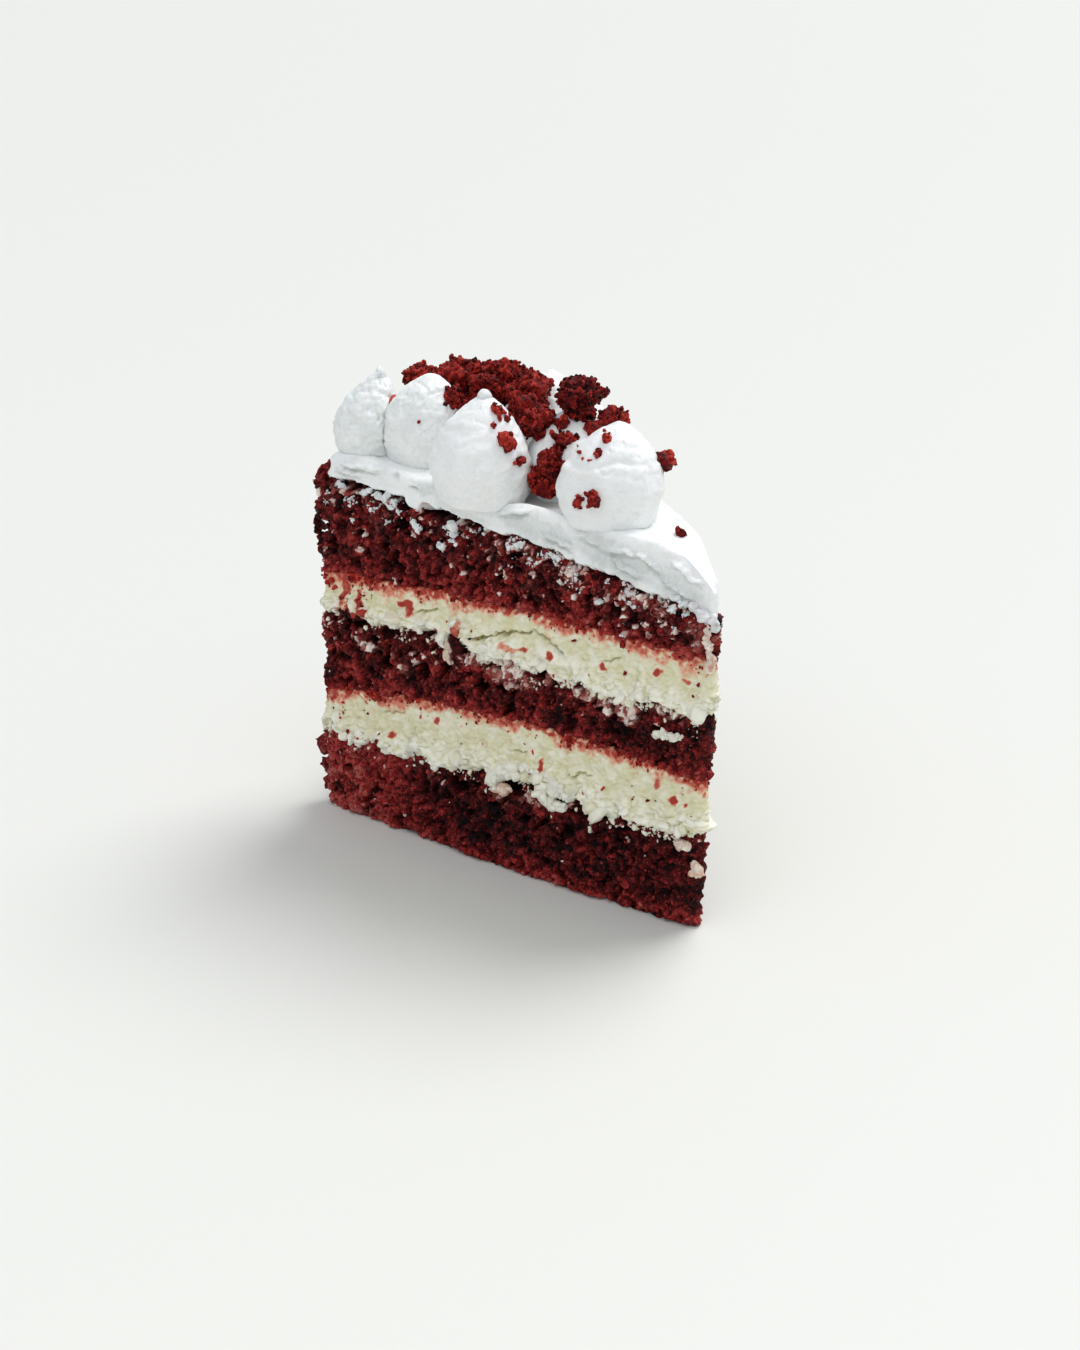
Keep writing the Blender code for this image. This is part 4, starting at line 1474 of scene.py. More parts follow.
@dataclass
class Dollop:
    """A piped dollop of frosting, pressed flat against its neighbours.

    Its place, radius, height and tilt are in mm. Each crease is a share of the height, a bearing in
    degrees and a depth in mm. The knob is its width, height and taper.
    """

    name: str
    along: float
    depth: float
    radius: float
    height: float
    fullness: float
    tilt: float
    curdled: float = 0.15
    creases: Rows = ()
    knob: tuple[float, float, float] | None = None
    grey: float = 0.0
    # grey: painted shade that greys the whole dollop.
    columns: int = 170
    step: float = 0.38 * MM
    foot_share: float = 0.86
    widest_at: float = 0.3
    bluntness: float = 0.8
    tilt_way: tuple[float, float] = (0.834, -0.552)
    gap: float = 0.3 * MM
    sink: float = 0.6 * MM
    wrinkle: float = 0.24 * MM
    fold: float = 0.3 * MM
    band: float = 0.06 * MM
    pit: float = 0.25 * MM

    def foot(self) -> float:
        """Height of the frosting under its middle."""
        return float(FORM.frosting_top(FORM.plan(self.along * MM, self.depth * MM)[None])[0])

    def centre(self) -> Floats:
        """Plan place of its middle, leaned with the slice."""
        return FORM.plan(self.along * MM, self.depth * MM) + self.foot() * np.array(FORM.lean)

    def tilted(self) -> Floats:
        """How far its peak leans over, in plan."""
        return self.tilt * MM * np.array(self.tilt_way)

    def profile(self) -> tuple[Floats, Floats]:
        """Radius and level, as shares, at even steps along the side.

        Below the widest level the radius grows by a quarter sine; above it, it is
        (1 - t^fullness)^bluntness.

        Returns:
            Shares of the widest radius and shares of the height.
        """
        level = 1 - np.linspace(1, 0, 600) ** 1.6
        grown = np.sin(np.clip(level / self.widest_at, 0, 1) * math.pi / 2)
        low = self.foot_share + (1 - self.foot_share) * grown
        t = np.clip((level - self.widest_at) / (1 - self.widest_at), 0, 1)
        share = np.where(level < self.widest_at, low, (1 - t**self.fullness) ** self.bluntness)
        run = np.hypot(np.diff(share) * self.radius, np.diff(level) * self.height) * MM
        length = np.concatenate([[0], np.cumsum(run)])
        stops = np.linspace(0, length[-1], round(length[-1] / self.step))[:-1]
        return np.interp(stops, length, share), np.interp(stops, length, level)

    def build(self, dollops: list[Dollop], finish: Material, seed: int) -> None:
        """Builds the dollop and dresses it.

        Args:
            dollops: Every dollop, this one among them.
            finish: The frosting material.
            seed: Seed of its texture.
        """
        share, level = self.profile()
        turn = 2 * math.pi * np.arange(self.columns) / self.columns
        centre, foot = self.centre(), self.foot()
        rings = self.smooth(dollops, (share, level, turn), seed)
        rings = rings + facing(rings) * self.texture(rings, level, turn, seed)[..., None]
        top = np.array([*(centre + self.tilted()), foot + self.height * MM])
        poles = np.array([[*centre, foot - self.sink], (rings[-1].mean(0) + top) / 2])
        # Random grey tone, plus painted shade over the whole dollop from grey.
        tone = np.clip(0.04 + 0.15 * layered(rings, 5 * MM, 2, seed + 5) + 0.5 * self.grey, 0, 1)
        skins = [Skin(rings[None], poles[None], {"tone": tone[None]})]
        if self.knob:
            skins.append(self.peak_knob(top, seed))
        add_piece(self.name + "_piped", skins, finish, (self.name,))

    def smooth(self, dollops: list[Dollop], grid: tuple[Floats, Floats, Floats], seed: int) -> Floats:
        """The dollop's rings before its texture: lumpy, tilted, pressed and seated on the frosting.

        Args:
            dollops: Every dollop.
            grid: Each ring's share of the radius and of the height, and each column's bearing.
            seed: Seed of its lumps.

        Returns:
            The rings' places.
        """
        share, level, turn = grid
        centre, foot = self.centre(), self.foot()
        way = np.column_stack([np.cos(turn), np.sin(turn)])
        plan = centre + way * (share * self.radius * MM)[:, None, None]
        rise = np.broadcast_to(level[:, None] * self.height * MM, plan.shape[:2])
        lump = 1 + 0.05 * layered(np.concatenate([plan, (foot + rise)[..., None]], axis=-1), 8 * MM, 2, seed)
        plan = centre + (plan - centre) * lump[..., None] + self.tilted() * level[:, None, None] ** 2
        for other in dollops:
            if other is not self:
                plan = self.held_back(plan, other)
        under = np.maximum(FORM.frosting_top(plan - foot * np.array(FORM.lean)) - foot, -1 * MM)
        seat = under * (1 - level[:, None]) - self.sink * (1 - ease(0, 0.06, level))[:, None]
        return np.concatenate([plan, (foot + rise + seat)[..., None]], axis=-1)

    def held_back(self, plan: Floats, other: Dollop) -> Floats:
        """Keeps plan points on this dollop's side of the plane between it and a neighbour."""
        across = other.centre() - self.centre()
        distance = float(np.hypot(*across))
        across = across / distance
        own = (distance**2 + (self.radius * MM) ** 2 - (other.radius * MM) ** 2) / (2 * distance)
        beyond = (plan - self.centre()) @ across - (own - self.gap / 2)
        return plan - np.maximum(0, beyond)[..., None] * across

    def texture(self, rings: Floats, level: Floats, turn: Floats, seed: int) -> Floats:
        """Relief of the piped cream: curds on its upper part, fine wrinkles, pits and creases.

        Args:
            rings: The smooth rings.
            level: Share of the height of each ring.
            turn: Bearing of each column.
            seed: Seed of the noise.

        Returns:
            How far each place moves outwards.
        """
        bent = warped(rings, 3.0 * MM, 1.0 * MM, seed + 6)
        flat = bent * np.array([1, 1, 2.4])
        worn = 0.6 + 0.8 * self.curdled
        relief = worn * self.wrinkle * layered(flat, 4.2 * MM, 4, seed + 1)
        relief += worn * self.fold * np.abs(layered(flat, 6.5 * MM, 2, seed + 9)) - 0.08 * MM
        curds = granules(bent, 2.8 * MM, seed + 2) - 0.6 + 0.5 * (granules(bent, 1.5 * MM, seed + 3) - 0.6)
        relief += self.curdled * MM * curds * (0.25 + 0.75 * ease(0.18, 0.55, level)[:, None])
        bands = np.sin(bent[..., 2] / (0.36 * MM) + 2 * swell(rings, 6 * MM, seed + 7))
        relief += self.band * bands * ease(0.0, 0.4, swell(rings, 7 * MM, seed + 8))
        relief -= self.pit * ease(0.42, 0.7, swell(bent, 1.5 * MM, seed + 4))
        for at, bearing, depth in self.creases:
            line = at + 0.035 * np.sin(turn * 2 + bearing) + 0.02 * np.sin(turn * 5)
            away = (level[:, None] - line) * self.height
            groove = np.exp(-((away / 0.55) ** 2)) - 0.5 * np.exp(-(((away + 1.3) / 0.9) ** 2))
            relief -= depth * MM * groove * (0.5 + 0.5 * np.cos(turn - math.radians(bearing)))
        return relief * (1 - ease(0.97, 1.0, level)[:, None])

    def peak_knob(self, top: Floats, seed: int) -> Skin:
        """The knob that the piping tube left: a short column with a round head."""
        width, height, taper = self.knob
        ways, ends = ball_grid(18, 30)
        bump = 1 + 0.06 * layered(ways, 0.8, 2, seed)
        seat = top - np.array([0.0, 0, 0.28 * height * MM])
        square = np.sign(ways[..., 2:]) * np.abs(ways[..., 2:]) ** 0.8
        shaped = np.concatenate([ways[..., :2] * (1 - taper * ways[..., 2:]), square], axis=-1)
        size = np.array([width, width * 0.95, height]) * MM / 2
        rings = shaped * bump[..., None] * size + seat
        return Skin(rings[None], (ends * size + seat)[None], {"tone": np.full((1, *rings.shape[:2]), 0.2)})


@dataclass
class CrumbPiece:
    """A broken piece of sponge on the frosting: craggy lumps with grains all over them.

    Each lump is its place along the left face, depth, height of its middle and three widths, in mm.
    """

    name: str
    lumps: Rows
    seed: int
    bright: float = 0.0
    step: float = 0.42 * MM
    grain_size: float = 0.8 * MM
    grain_share: float = 2.0
    core: float = 0.88
    torn: float = 0.7 * MM
    bead: float = 0.6 * MM
    pit: float = 1.4 * MM

    def build(self, finish: Material) -> None:
        """Builds the piece and dresses it.

        Args:
            finish: The loose crumb's material.
        """
        rng = np.random.default_rng(self.seed)
        skins: list[Skin] = []
        for number, (along, depth, height, *size) in enumerate(self.lumps):
            centre = FORM.spot(along, depth, height)
            body = self.craggy(centre, np.array(size) * MM, self.seed + 7 * number)
            skins += [body, self.grains_on(body, centre, rng, float(np.mean(size)), number)]
        add_piece(self.name + "_craggy", skins, finish, (self.name,))

    def craggy(self, centre: Floats, size: Floats, seed: int) -> Skin:
        """One lump: a stretched sphere raised by granules of two sizes and sunk by pores.

        Args:
            centre: The lump's middle.
            size: Its three widths.
            seed: Seed of the crags.

        Returns:
            The lump as a closed skin.
        """
        size = size * self.core
        rows = max(12, round(math.pi * float(size.max()) / 2 / self.step))
        ways, _ = ball_grid(rows, 2 * rows)
        plain = centre + ways * size / 2
        bent = warped(plain, 1.8 * MM, 0.8 * MM, seed + 9)
        _, pick = nearest_seed(bent, 0.9 * MM, seed + 2)
        crag, torn = layered(plain, 5.0 * MM, 2, seed), layered(bent, 2.4 * MM, 3, seed + 4)
        pits = 0.6 * hollows(bent, 2.6 * MM, 0.6, seed + 1) + 0.4 * hollows(bent, 1.3 * MM, 0.7, seed + 3)
        beads = granules(bent, 1.7 * MM, seed + 5)
        lift = 0.45 * crag * size.mean() / 2 + self.torn * torn + self.bead * (beads - 0.6) - self.pit * pits
        lift = np.clip(lift, -0.3 * size.mean(), 0.16 * size.mean())
        rings = plain + ways * lift[..., None]
        # Tone: random, lighter on raised torn crumb and bead tops as painted highlights; pit: painted shade
        # in hollows and sunk places.
        tone = 0.34 + self.bright + 0.4 * (pick - 0.5) + 0.3 * torn + 0.35 * ease(0.6, 1.0, beads)
        pit = np.clip(0.7 * pits + ease(0.2 * MM, 1.5 * MM, -lift) * 0.6, 0, 1)
        poles = np.stack([rings[0].mean(0), rings[-1].mean(0)])
        return Skin(rings[None], poles[None], {"tone": tone[None], "pit": pit[None]})

    def grains_on(self, body: Skin, centre: Floats, rng: Random, width: float, number: int) -> Skin:
        """Grains half sunk all over one lump."""
        count = round(self.grain_share * width**2)
        rings = body.rings[0]
        fall = rng.uniform(-0.9, 1, count)
        row = np.clip(((np.arcsin(fall) / math.pi + 0.5) * len(rings)).astype(int), 0, len(rings) - 1)
        column = rng.integers(0, rings.shape[1], count)
        size = self.grain_size * np.clip(rng.lognormal(0, 0.35, count), 0.5, 2)
        way = rings[row, column] - centre
        way /= np.linalg.norm(way, axis=1, keepdims=True)
        centres = rings[row, column] + way * (0.12 * size)[:, None]
        lumps = grains(centres, size[:, None] * rng.uniform(0.7, 1.25, (count, 3)), self.seed + number, 0.2)
        lumps.masks = {"tone": lumps.each(0.36 + self.bright + rng.uniform(-0.32, 0.42, count))}
        return lumps


@dataclass
class SmallCrumbs:
    """The small crumbs scattered over the dollops and the frosting.

    A crumb on a dollop is a bearing in degrees from the rim's side, a share of the dollop's height,
    and a width and a height in mm. One on the slab is its distance along, its depth and its width.
    """

    name: str
    on_dollops: dict[str, Rows]
    on_slab: Rows = ()
    seed: int = 900
    grid: tuple[int, int] = FINE_GRID

    def build(self, dollops: list[Dollop], finish: Material) -> None:
        """Builds every small crumb as a knot of grains in one mesh.

        Args:
            dollops: The dollops, found by name.
            finish: The loose crumb's material.
        """
        rng = np.random.default_rng(self.seed)
        spots: list[tuple[Floats, Floats]] = []
        for dollop in dollops:
            for bearing, level, width, height in self.on_dollops.get(dollop.name, ()):
                centre = self.on_side(dollop, (math.radians(bearing), level), width)
                spots.append((centre, np.array([width, width, height]) * MM))
        for along, depth, width in self.on_slab:
            top = float(FORM.frosting_top(FORM.plan(along * MM, depth * MM)[None])[0])
            spots.append((FORM.spot(along, depth, top / MM), np.full(3, width * MM)))
        skins = [self.knot(centre, size, rng, number) for number, (centre, size) in enumerate(spots)]
        add_piece(self.name, skins, finish)

    @staticmethod
    def on_side(dollop: Dollop, spot: tuple[float, float], width: float) -> Floats:
        """A crumb's middle, a little proud of a dollop's side at a bearing and a level."""
        turn, level = spot
        way = FORM.plan(math.cos(turn), math.sin(turn)) - np.array(FORM.tip)
        shares, levels = dollop.profile()
        reach = dollop.radius * MM * float(np.interp(level, levels, shares)) + 0.08 * width * MM
        plan = dollop.centre() + dollop.tilted() * level**2 + reach * way
        return np.array([*plan, dollop.foot() + dollop.height * MM * level])

    def knot(self, centre: Floats, size: Floats, rng: Random, number: int) -> Skin:
        """One crumb: grains packed in the crumb's own size, the largest in its middle."""
        count = max(5, round(4.5 * float(size.mean()) / MM))
        offsets = rng.normal(size=(count, 3)) * size * 0.2
        offsets[0] = 0
        width = size.mean() * np.concatenate([[0.85], rng.uniform(0.22, 0.5, count - 1)])
        sizes = width[:, None] * rng.uniform(0.75, 1.3, (count, 3))
        lumps = grains(centre + offsets, sizes, self.seed + number, 0.14, self.grid)
        speck = 0.35 * swell(lumps.rings, 0.9 * MM, self.seed)
        lumps.masks = {"tone": lumps.each(0.6 + rng.uniform(-0.35, 0.4, count)) + speck}
        return lumps


@dataclass(frozen=True)
class Strand:
    """A curl, drip or smear: rows of along, out of the face, height and radius, in mm."""

    path: Rows
    stain: float = 0.0


@dataclass
class Strands:
    """Stuff of one finish that was torn and dragged over the cut face."""

    name: str
    slot: Slot
    strands: tuple[Strand, ...]
    seed: int

    def build(self, finish: Material) -> None:
        """Builds the strands as one mesh.

        Args:
            finish: The strands' material.
        """
        skins: list[Skin] = []
        for number, strand in enumerate(self.strands):
            along, out, height, radii = (np.array(strand.path) * MM).T
            plan = FORM.plan(along, -out - FORM.bow(along, 1.0, height))
            path = FORM.leaned(np.column_stack([plan, height]))
            skin = chain(path, radii, self.seed + number)
            plain = np.ones(len(skin.rings))
            skin.masks = {"stain": skin.each(strand.stain * plain), "tone": skin.each(0.05 * plain)}
            skins.append(skin)
        add_piece(self.name, skins, finish)


# --- The slice as a whole.


def aim(holder: Object, heading: float, fall: float) -> None:
    """Turns a light or a camera to look along a heading from +X towards +Y, and down by an angle."""
    level = math.cos(fall)
    way = Vector((math.cos(heading) * level, math.sin(heading) * level, -math.sin(fall)))
    holder.rotation_euler = way.to_track_quat("-Z", "Y").to_euler()


@dataclass
class Studio:
    """A pale floor, soft light and the camera."""

    position: tuple[float, float, float] = (-0.24297, -0.35644, 0.2123)
    heading: float = math.radians(56.484)
    fall: float = math.radians(21.119)
    lens: float = 48.0
    sensor: float = 36.0
    nearest: float = 0.01
    floor_half: float = 30.0
    floor_drop: float = 0.2 * MM
    floor_colour: Colour = shade(222, 222, 216)
    floor_roughness: float = 0.6
    sky_colour: Colour = (0.86, 0.9, 0.97, 1)
    sky_strength: float = 0.52

    def build(self) -> None:
        """Builds the floor, the lights, the sky and the camera."""
        self.floor()
        self.light("key_light", bearing=10.0, rise=58.0, spread=35.0, strength=2.15)
        self.light("fill_light", bearing=225.0, rise=58.0, spread=60.0, strength=0.75)
        self.sky()
        self.camera()

    def floor(self) -> None:
        """A wide pale floor just under the slice."""
        mesh = bpy.data.meshes.new("floor")
        far, low = self.floor_half, -self.floor_drop
        corners = [(-far, -far, low), (far, -far, low), (far, far, low), (-far, far, low)]
        mesh.from_pydata(corners, [], [(0, 1, 2, 3)])
        material, _, shader = new_material("pale_floor")
        shader.inputs["Base Color"].default_value = self.floor_colour
        shader.inputs["Roughness"].default_value = self.floor_roughness
        mesh.materials.append(material)
        floor = link("floor", mesh)

    def light(self, name: str, bearing: float, rise: float, spread: float, strength: float) -> None:
        """A broad even light from one side.

        Args:
            name: The light's name.
            bearing: Direction that it comes from, in degrees from +X towards +Y.
            rise: Its height above the horizon in degrees.
            spread: Its width in degrees, which softens the shadows.
            strength: Its strength.
        """
        lamp = bpy.data.lights.new(name, "SUN")
        lamp.angle = math.radians(spread)
        lamp.energy = strength
        aim(link(name, lamp), math.radians(bearing + 180), math.radians(rise))

    def sky(self) -> None:
        """An even pale surround."""
        world = bpy.data.worlds.new("surround")
        world.use_nodes = True
        back = world.node_tree.nodes["Background"]
        back.inputs["Color"].default_value = self.sky_colour
        back.inputs["Strength"].default_value = self.sky_strength
        bpy.context.scene.world = world

    def camera(self) -> None:
        """The camera, turned by its heading and fall."""
        lens = bpy.data.cameras.new("camera")
        lens.lens, lens.sensor_width, lens.clip_start = self.lens, self.sensor, self.nearest
        holder = link("camera", lens)
        holder.location = self.position
        aim(holder, self.heading, self.fall)
        bpy.context.scene.camera = holder


SPONGES = (
    SpongeLayer(
        "sponge_bottom", Boundary.BASE, Boundary.LOWER_CREAM_FOOT, seed=110,
        pockets=each_of(
            Mark, (74.8, 18.6, 3.6, 2.2, 15), (58, 22.6, 4, 1.6, 10), (46.5, 22.4, 1.6, 2),
            (36.5, 21.6, 4.5, 1.5, -8), (25, 20.8, 3, 0.9, -6), (7.1, 9.2, 2.5, 1.6),
        ),
        smears=each_of(Mark, (52, 21, 4, 2, 0, 0.6), (61, 19, 3, 2, 0, 0.45), (84, 20, 2, 3, 0, 0.3)),
        flecks=0.3, lace_reach=2, dark_core=0.2, warm=0.5, glow=0.3,
        clumps=(
            (126.4, 3.6, 15.8, 4.2), (124.4, 2.8, 15.9, 4.4), (125, 3.2, 9.8, 4.2),
            (123.2, 2.6, 5, 3.6), (122.6, 2, 20.4, 2.8),
        ),
    ),
    SpongeLayer(
        "sponge_middle", Boundary.LOWER_CREAM_TOP, Boundary.UPPER_CREAM_FOOT, seed=130, rows=56,
        grain_count=2400, pores_from=0.22,
        pockets=each_of(
            Mark, (111.8, 56, 5.4, 2, -4), (100.2, 46.6, 2.8, 1.6), (88, 47.5, 2.2, 2.6),
            (76.6, 58.2, 2.8, 3.2), (81.2, 51, 0.8, 6.5, 6), (50.8, 55.6, 2, 2.4, 20),
            (39.5, 55, 0.9, 1.2), (29.2, 52.5, 0.8, 1.6), (104.5, 52.5, 1.6, 1), (63, 48, 2, 1.3),
        ),
        smears=each_of(
            Mark, (108.3, 49.8, 5, 1.5, 12), (94.3, 46.2, 2.2, 1.8, 0, 0.95), (98, 49.6, 3, 1.2, 10, 0.7),
            (79.6, 53.5, 1.6, 4.6, 0, 1.2), (74, 54.2, 4, 2, 0, 0.9), (62, 55, 11, 2.4, -4, 1.2),
            (60, 51.8, 9, 2.4, 0, 0.6), (47, 55, 6, 2.6), (36, 54, 6, 3, 0, 1.05),
            (30, 51.5, 5, 2.6, 0, 0.85), (24.6, 51.5, 2.6, 3.6), (14, 53.5, 6, 1.8, 0, 0.8),
        ),
        flecks=0.8, lace_reach=3,
    ),
    SpongeLayer(
        "sponge_top", Boundary.UPPER_CREAM_TOP, Boundary.FROSTING_FOOT, seed=150, rows=84,
        pockets=each_of(
            Mark, (84.4, 90.2, 4.6, 1.9, -10), (74.4, 89.4, 2.8, 2, -20), (106, 92.2, 11, 1.5, 2),
            (94.4, 90.6, 3, 1.5, -20), (94.4, 85.2, 2.2, 1.5, 30), (100.7, 78.2, 1.5, 1.2),
            (87, 82.4, 1.4, 1.6), (122.5, 78, 2.6, 4.4, 10), (118, 76, 1.3, 1.6),
            (44, 87.5, 1.6, 1.2), (27, 85, 2.4, 1),
        ),
        smears=each_of(
            Mark, (109, 90.5, 3, 2, 30, 0.8), (99, 91.2, 3.4, 1.4, 10, 0.8), (56, 85, 2.6, 2.6, 0, 0.6),
            (8, 74, 3, 4, 0, 0.5),
        ),
        pocket_depth=5.5 * MM, flecks=1, lace_reach=6, under_head=3 * MM,
        clumps=(
            (123, 2.2, 93.2, 4.4), (121.2, 2.4, 95.4, 3.4), (124.4, 2.6, 90.8, 3.2),
            (124.6, 2.6, 84.6, 2.8), (124.2, 2.6, 72.6, 2.8), (123.4, 2.4, 87.2, 3),
        ),
    ),
)

CREAMS = (
    CreamLayer(
        "cream_lower", Boundary.LOWER_CREAM_FOOT, Boundary.LOWER_CREAM_TOP, seed=210,
        dents=each_of(
            Mark, (98, 33.5, 4, 0.4, -14, 0.4), (38, 31.6, 4, 0.4, -20, 0.5), (56, 33.4, 3, 0.3, -10, 0.4),
        ),
        stains=each_of(
            Mark, (118.8, 35.5, 1.3, 5.5, 4), (88.6, 34.4, 0.9, 0.9, 0, 1.1), (82.9, 35, 1, 1),
            (97.5, 27.6, 1.6, 1, 10), (49.4, 30.9, 0.9, 2.3, 28, 1.2), (10.7, 31.9, 1.3, 1.1, 0, 1.1),
            (7.7, 31.4, 0.6, 0.6), (16, 35, 1, 1.5, 0, 0.8),
        ),
        hangs=each_of(
            Drip, (112, 8, 3.6), (96, 6, 3.6), (80, 6, 3.4), (67, 3, 0.5), (53, 4, 0.2), (46.5, 1.3, -0.6),
            (31, 5, 2), (16, 8, 1.6),
        ),
    ),
    CreamLayer(
        "cream_upper", Boundary.UPPER_CREAM_FOOT, Boundary.UPPER_CREAM_TOP, seed=230,
        stains=each_of(
            Mark, (114.6, 65, 1.4, 5.5, 2), (110, 68, 7, 1.6, 2, 0.9), (109.7, 62.4, 1, 3),
            (93.9, 64.3, 3.4, 1.2, -4, 1.1), (92.6, 62.8, 1.4, 1.6), (78, 63, 1.4, 0.7, 0, 0.9),
            (76.6, 59.6, 2.2, 2.2, 0, 0.9), (112, 59, 6, 1.2, 0, 1.4), (56.1, 60.6, 1.3, 0.9),
            (47, 60.8, 1.2, 1.2, 0, 1.1), (60, 60, 4, 0.8, 0, 0.55), (33.1, 61.1, 1.1, 1.1, 0, 1.1),
            (17.6, 62.9, 1.6, 1.3, 0, 1.1), (10, 62.2, 1.2, 0.7, 0, 0.9),
        ),
        dents=each_of(
            Mark, (69.8, 60, 3.6, 0.8, -22), (62.5, 62.9, 4, 0.5, -24), (56.5, 64.6, 3, 0.4, -10),
            (48, 63.6, 6, 0.4, 22), (87, 63.6, 4, 0.4, -14, 0.5), (30, 63.5, 3, 0.3, -16, 0.4),
        ),
        bulges=each_of(Mark, (62, 59.6, 8, 2, -24), (46, 61.2, 7, 2.2, 8), (80.8, 58, 1.4, 2.6)),
        hangs=each_of(
            Drip, (112, 5, -0.6), (104, 1.5, 1.6), (93, 6, 0), (85, 3, -1.4), (80.6, 1.3, 3),
            (76.6, 2.6, -3), (66, 6, 1.4), (54, 5, 1.6), (45, 3, 2.4), (33.7, 4, 2.4), (25, 2.4, 3.6),
            (12, 6, 1),
        ),
    ),
)

FROSTING = FrostingSlab(
    lumps=each_of(Drip, (91, 2.6, 2.4), (65, 4, 1.2), (52, 3, 1), (40, 2, 1), (23, 3, 0.9)),
    dents=each_of(Mark, (97, 97.1, 1.3, 1.1), (91.5, 95.3, 1.4, 0.4)),
    folds=each_of(
        Mark, (29.5, 90.6, 6, 0.7, -2), (21.4, 89.4, 4.4, 0.7, 30), (27, 86.9, 5.6, 0.5, 18),
        (11.6, 88.2, 5, 0.6, 26, 0.8), (14, 84.4, 4.6, 0.5, 30, 0.8), (38, 91.6, 5, 0.5, 10, 0.7),
        (60, 94.5, 5, 0.6, -12), (46, 89.8, 5, 0.5, 12), (108, 98.2, 7, 0.6, -3),
        (112, 96.4, 5, 0.5, 4),
    ),
    humps=each_of(Drip, (55, 13, 2.2)),
    # shades: patches of painted shade on the slab's side.
    shades=each_of(
        Mark, (55, 92, 14, 3.6, 10, 0.5), (84, 95.6, 9, 2.2, 3, 0.45), (30, 88, 14, 4.2, 14, 0.5),
        (14, 84.6, 8, 3.6, 26, 0.45),
    ),
)

# dollop_rim_left and dollop_left are greyed as painted shade.
DOLLOPS = [
    Dollop("dollop_rim_left", 115, 10, 9, 20, 1.5, 3.4, curdled=0.8, knob=(3, 4.6, 0.5), grey=0.4),
    Dollop("dollop_left", 99.9, 13.2, 9.8, 21.2, 2.6, 3, curdled=0.5, grey=0.3),
    Dollop("dollop_front", 74, 4.5, 12.5, 25.2, 1.7, 1.3, curdled=0.12, knob=(3.7, 4.8, 0.12)),
    Dollop("dollop_middle", 60.2, 24, 12.3, 21.2, 2.1, 0.4, curdled=0.12),
    Dollop("dollop_tip", 39.7, 10, 12.6, 23.2, 2, 2, 0.14, creases=((0.63, 200, 0.35), (0.2, 120, 0.25))),
    Dollop("dollop_back", 81, 42, 11.3, 21.2, 2.1, 0.5, curdled=0.2),
    Dollop("dollop_rim_middle", 106.5, 30, 9.8, 17, 2, 1, curdled=0.3),
    Dollop("dollop_rim_back", 98.5, 48, 9.6, 16, 2, -1, curdled=0.3),
    Dollop("dollop_corner", 87, 61.5, 8.2, 10, 2.4, 0, curdled=0.25),
]

CRUMB_PIECES = (
    CrumbPiece(
        "crumb_heap",
        (
            (90.5, 27, 106, 15, 15, 18), (100.5, 31, 116.2, 14, 12, 12), (90, 31, 116.5, 15, 13, 12),
            (79.5, 30, 114.8, 12, 12, 11), (92, 15.5, 114, 7.5, 7, 7.5), (77, 25.5, 112.5, 10, 10, 9),
            (67, 18, 111.5, 11, 10, 9),
        ),
        seed=700,
    ),
    CrumbPiece(
        "crumb_valley",
        ((59.5, 10.5, 99.5, 8, 8, 9), (58.6, 13, 104, 9.5, 8, 9), (57.5, 16, 108.5, 7, 5.5, 6)),
        seed=740, bright=-0.05,
    ),
    CrumbPiece("crumb_ball", ((58.9, 23.5, 118, 12.4, 12.4, 11),), seed=760, bright=-0.2),
    CrumbPiece("crumb_right", ((43, 14.6, 117, 7.4, 6.2, 5),), seed=770),
    CrumbPiece("crumb_left", ((113.5, 27.5, 116, 8, 7, 6.5), (109.5, 27, 117, 5, 5, 4)), 780, bright=0.06),
)

SMALL_CRUMBS = SmallCrumbs(
    "small_crumbs",
    on_dollops={
        "dollop_rim_left": ((163, 0.62, 4.4, 5),),
        "dollop_front": ((-171, 0.86, 3, 3.4), (-177, 0.42, 3, 2.4), (-163, 0.62, 4.8, 4.4)),
        "dollop_middle": ((-95, 0.85, 3, 5.6), (-160, 0.8, 4.4, 4.4)),
        "dollop_tip": (
            (-99, 0.87, 2.2, 3.2), (-98, 0.75, 2, 2.4), (-88, 0.28, 2.3, 3.4), (-107, 0.33, 4.2, 3.9),
            (143, 0.58, 5.8, 4.8),
        ),
    },
    on_slab=((19, 9, 3.1),),
)
FINE_CRUMBS = SmallCrumbs(
    "fine_crumbs",
    on_dollops={
        "dollop_left": ((-122, 0.52, 1.2, 1.2),),
        "dollop_front": (
            (-166, 0.8, 1.3, 1.3), (176, 0.78, 1.7, 1.5), (152, 0.8, 1.2, 1.2), (-148, 0.76, 1.6, 1.8),
        ),
        "dollop_middle": ((-84, 0.76, 1.4, 1.4),),
        "dollop_tip": (
            (-62, 0.72, 1.3, 1.2), (-76, 0.68, 1, 0.8), (-88, 0.68, 1.1, 0.8), (-36, 0.74, 1, 1),
        ),
    },
    seed=940, grid=COARSE_GRID,
)

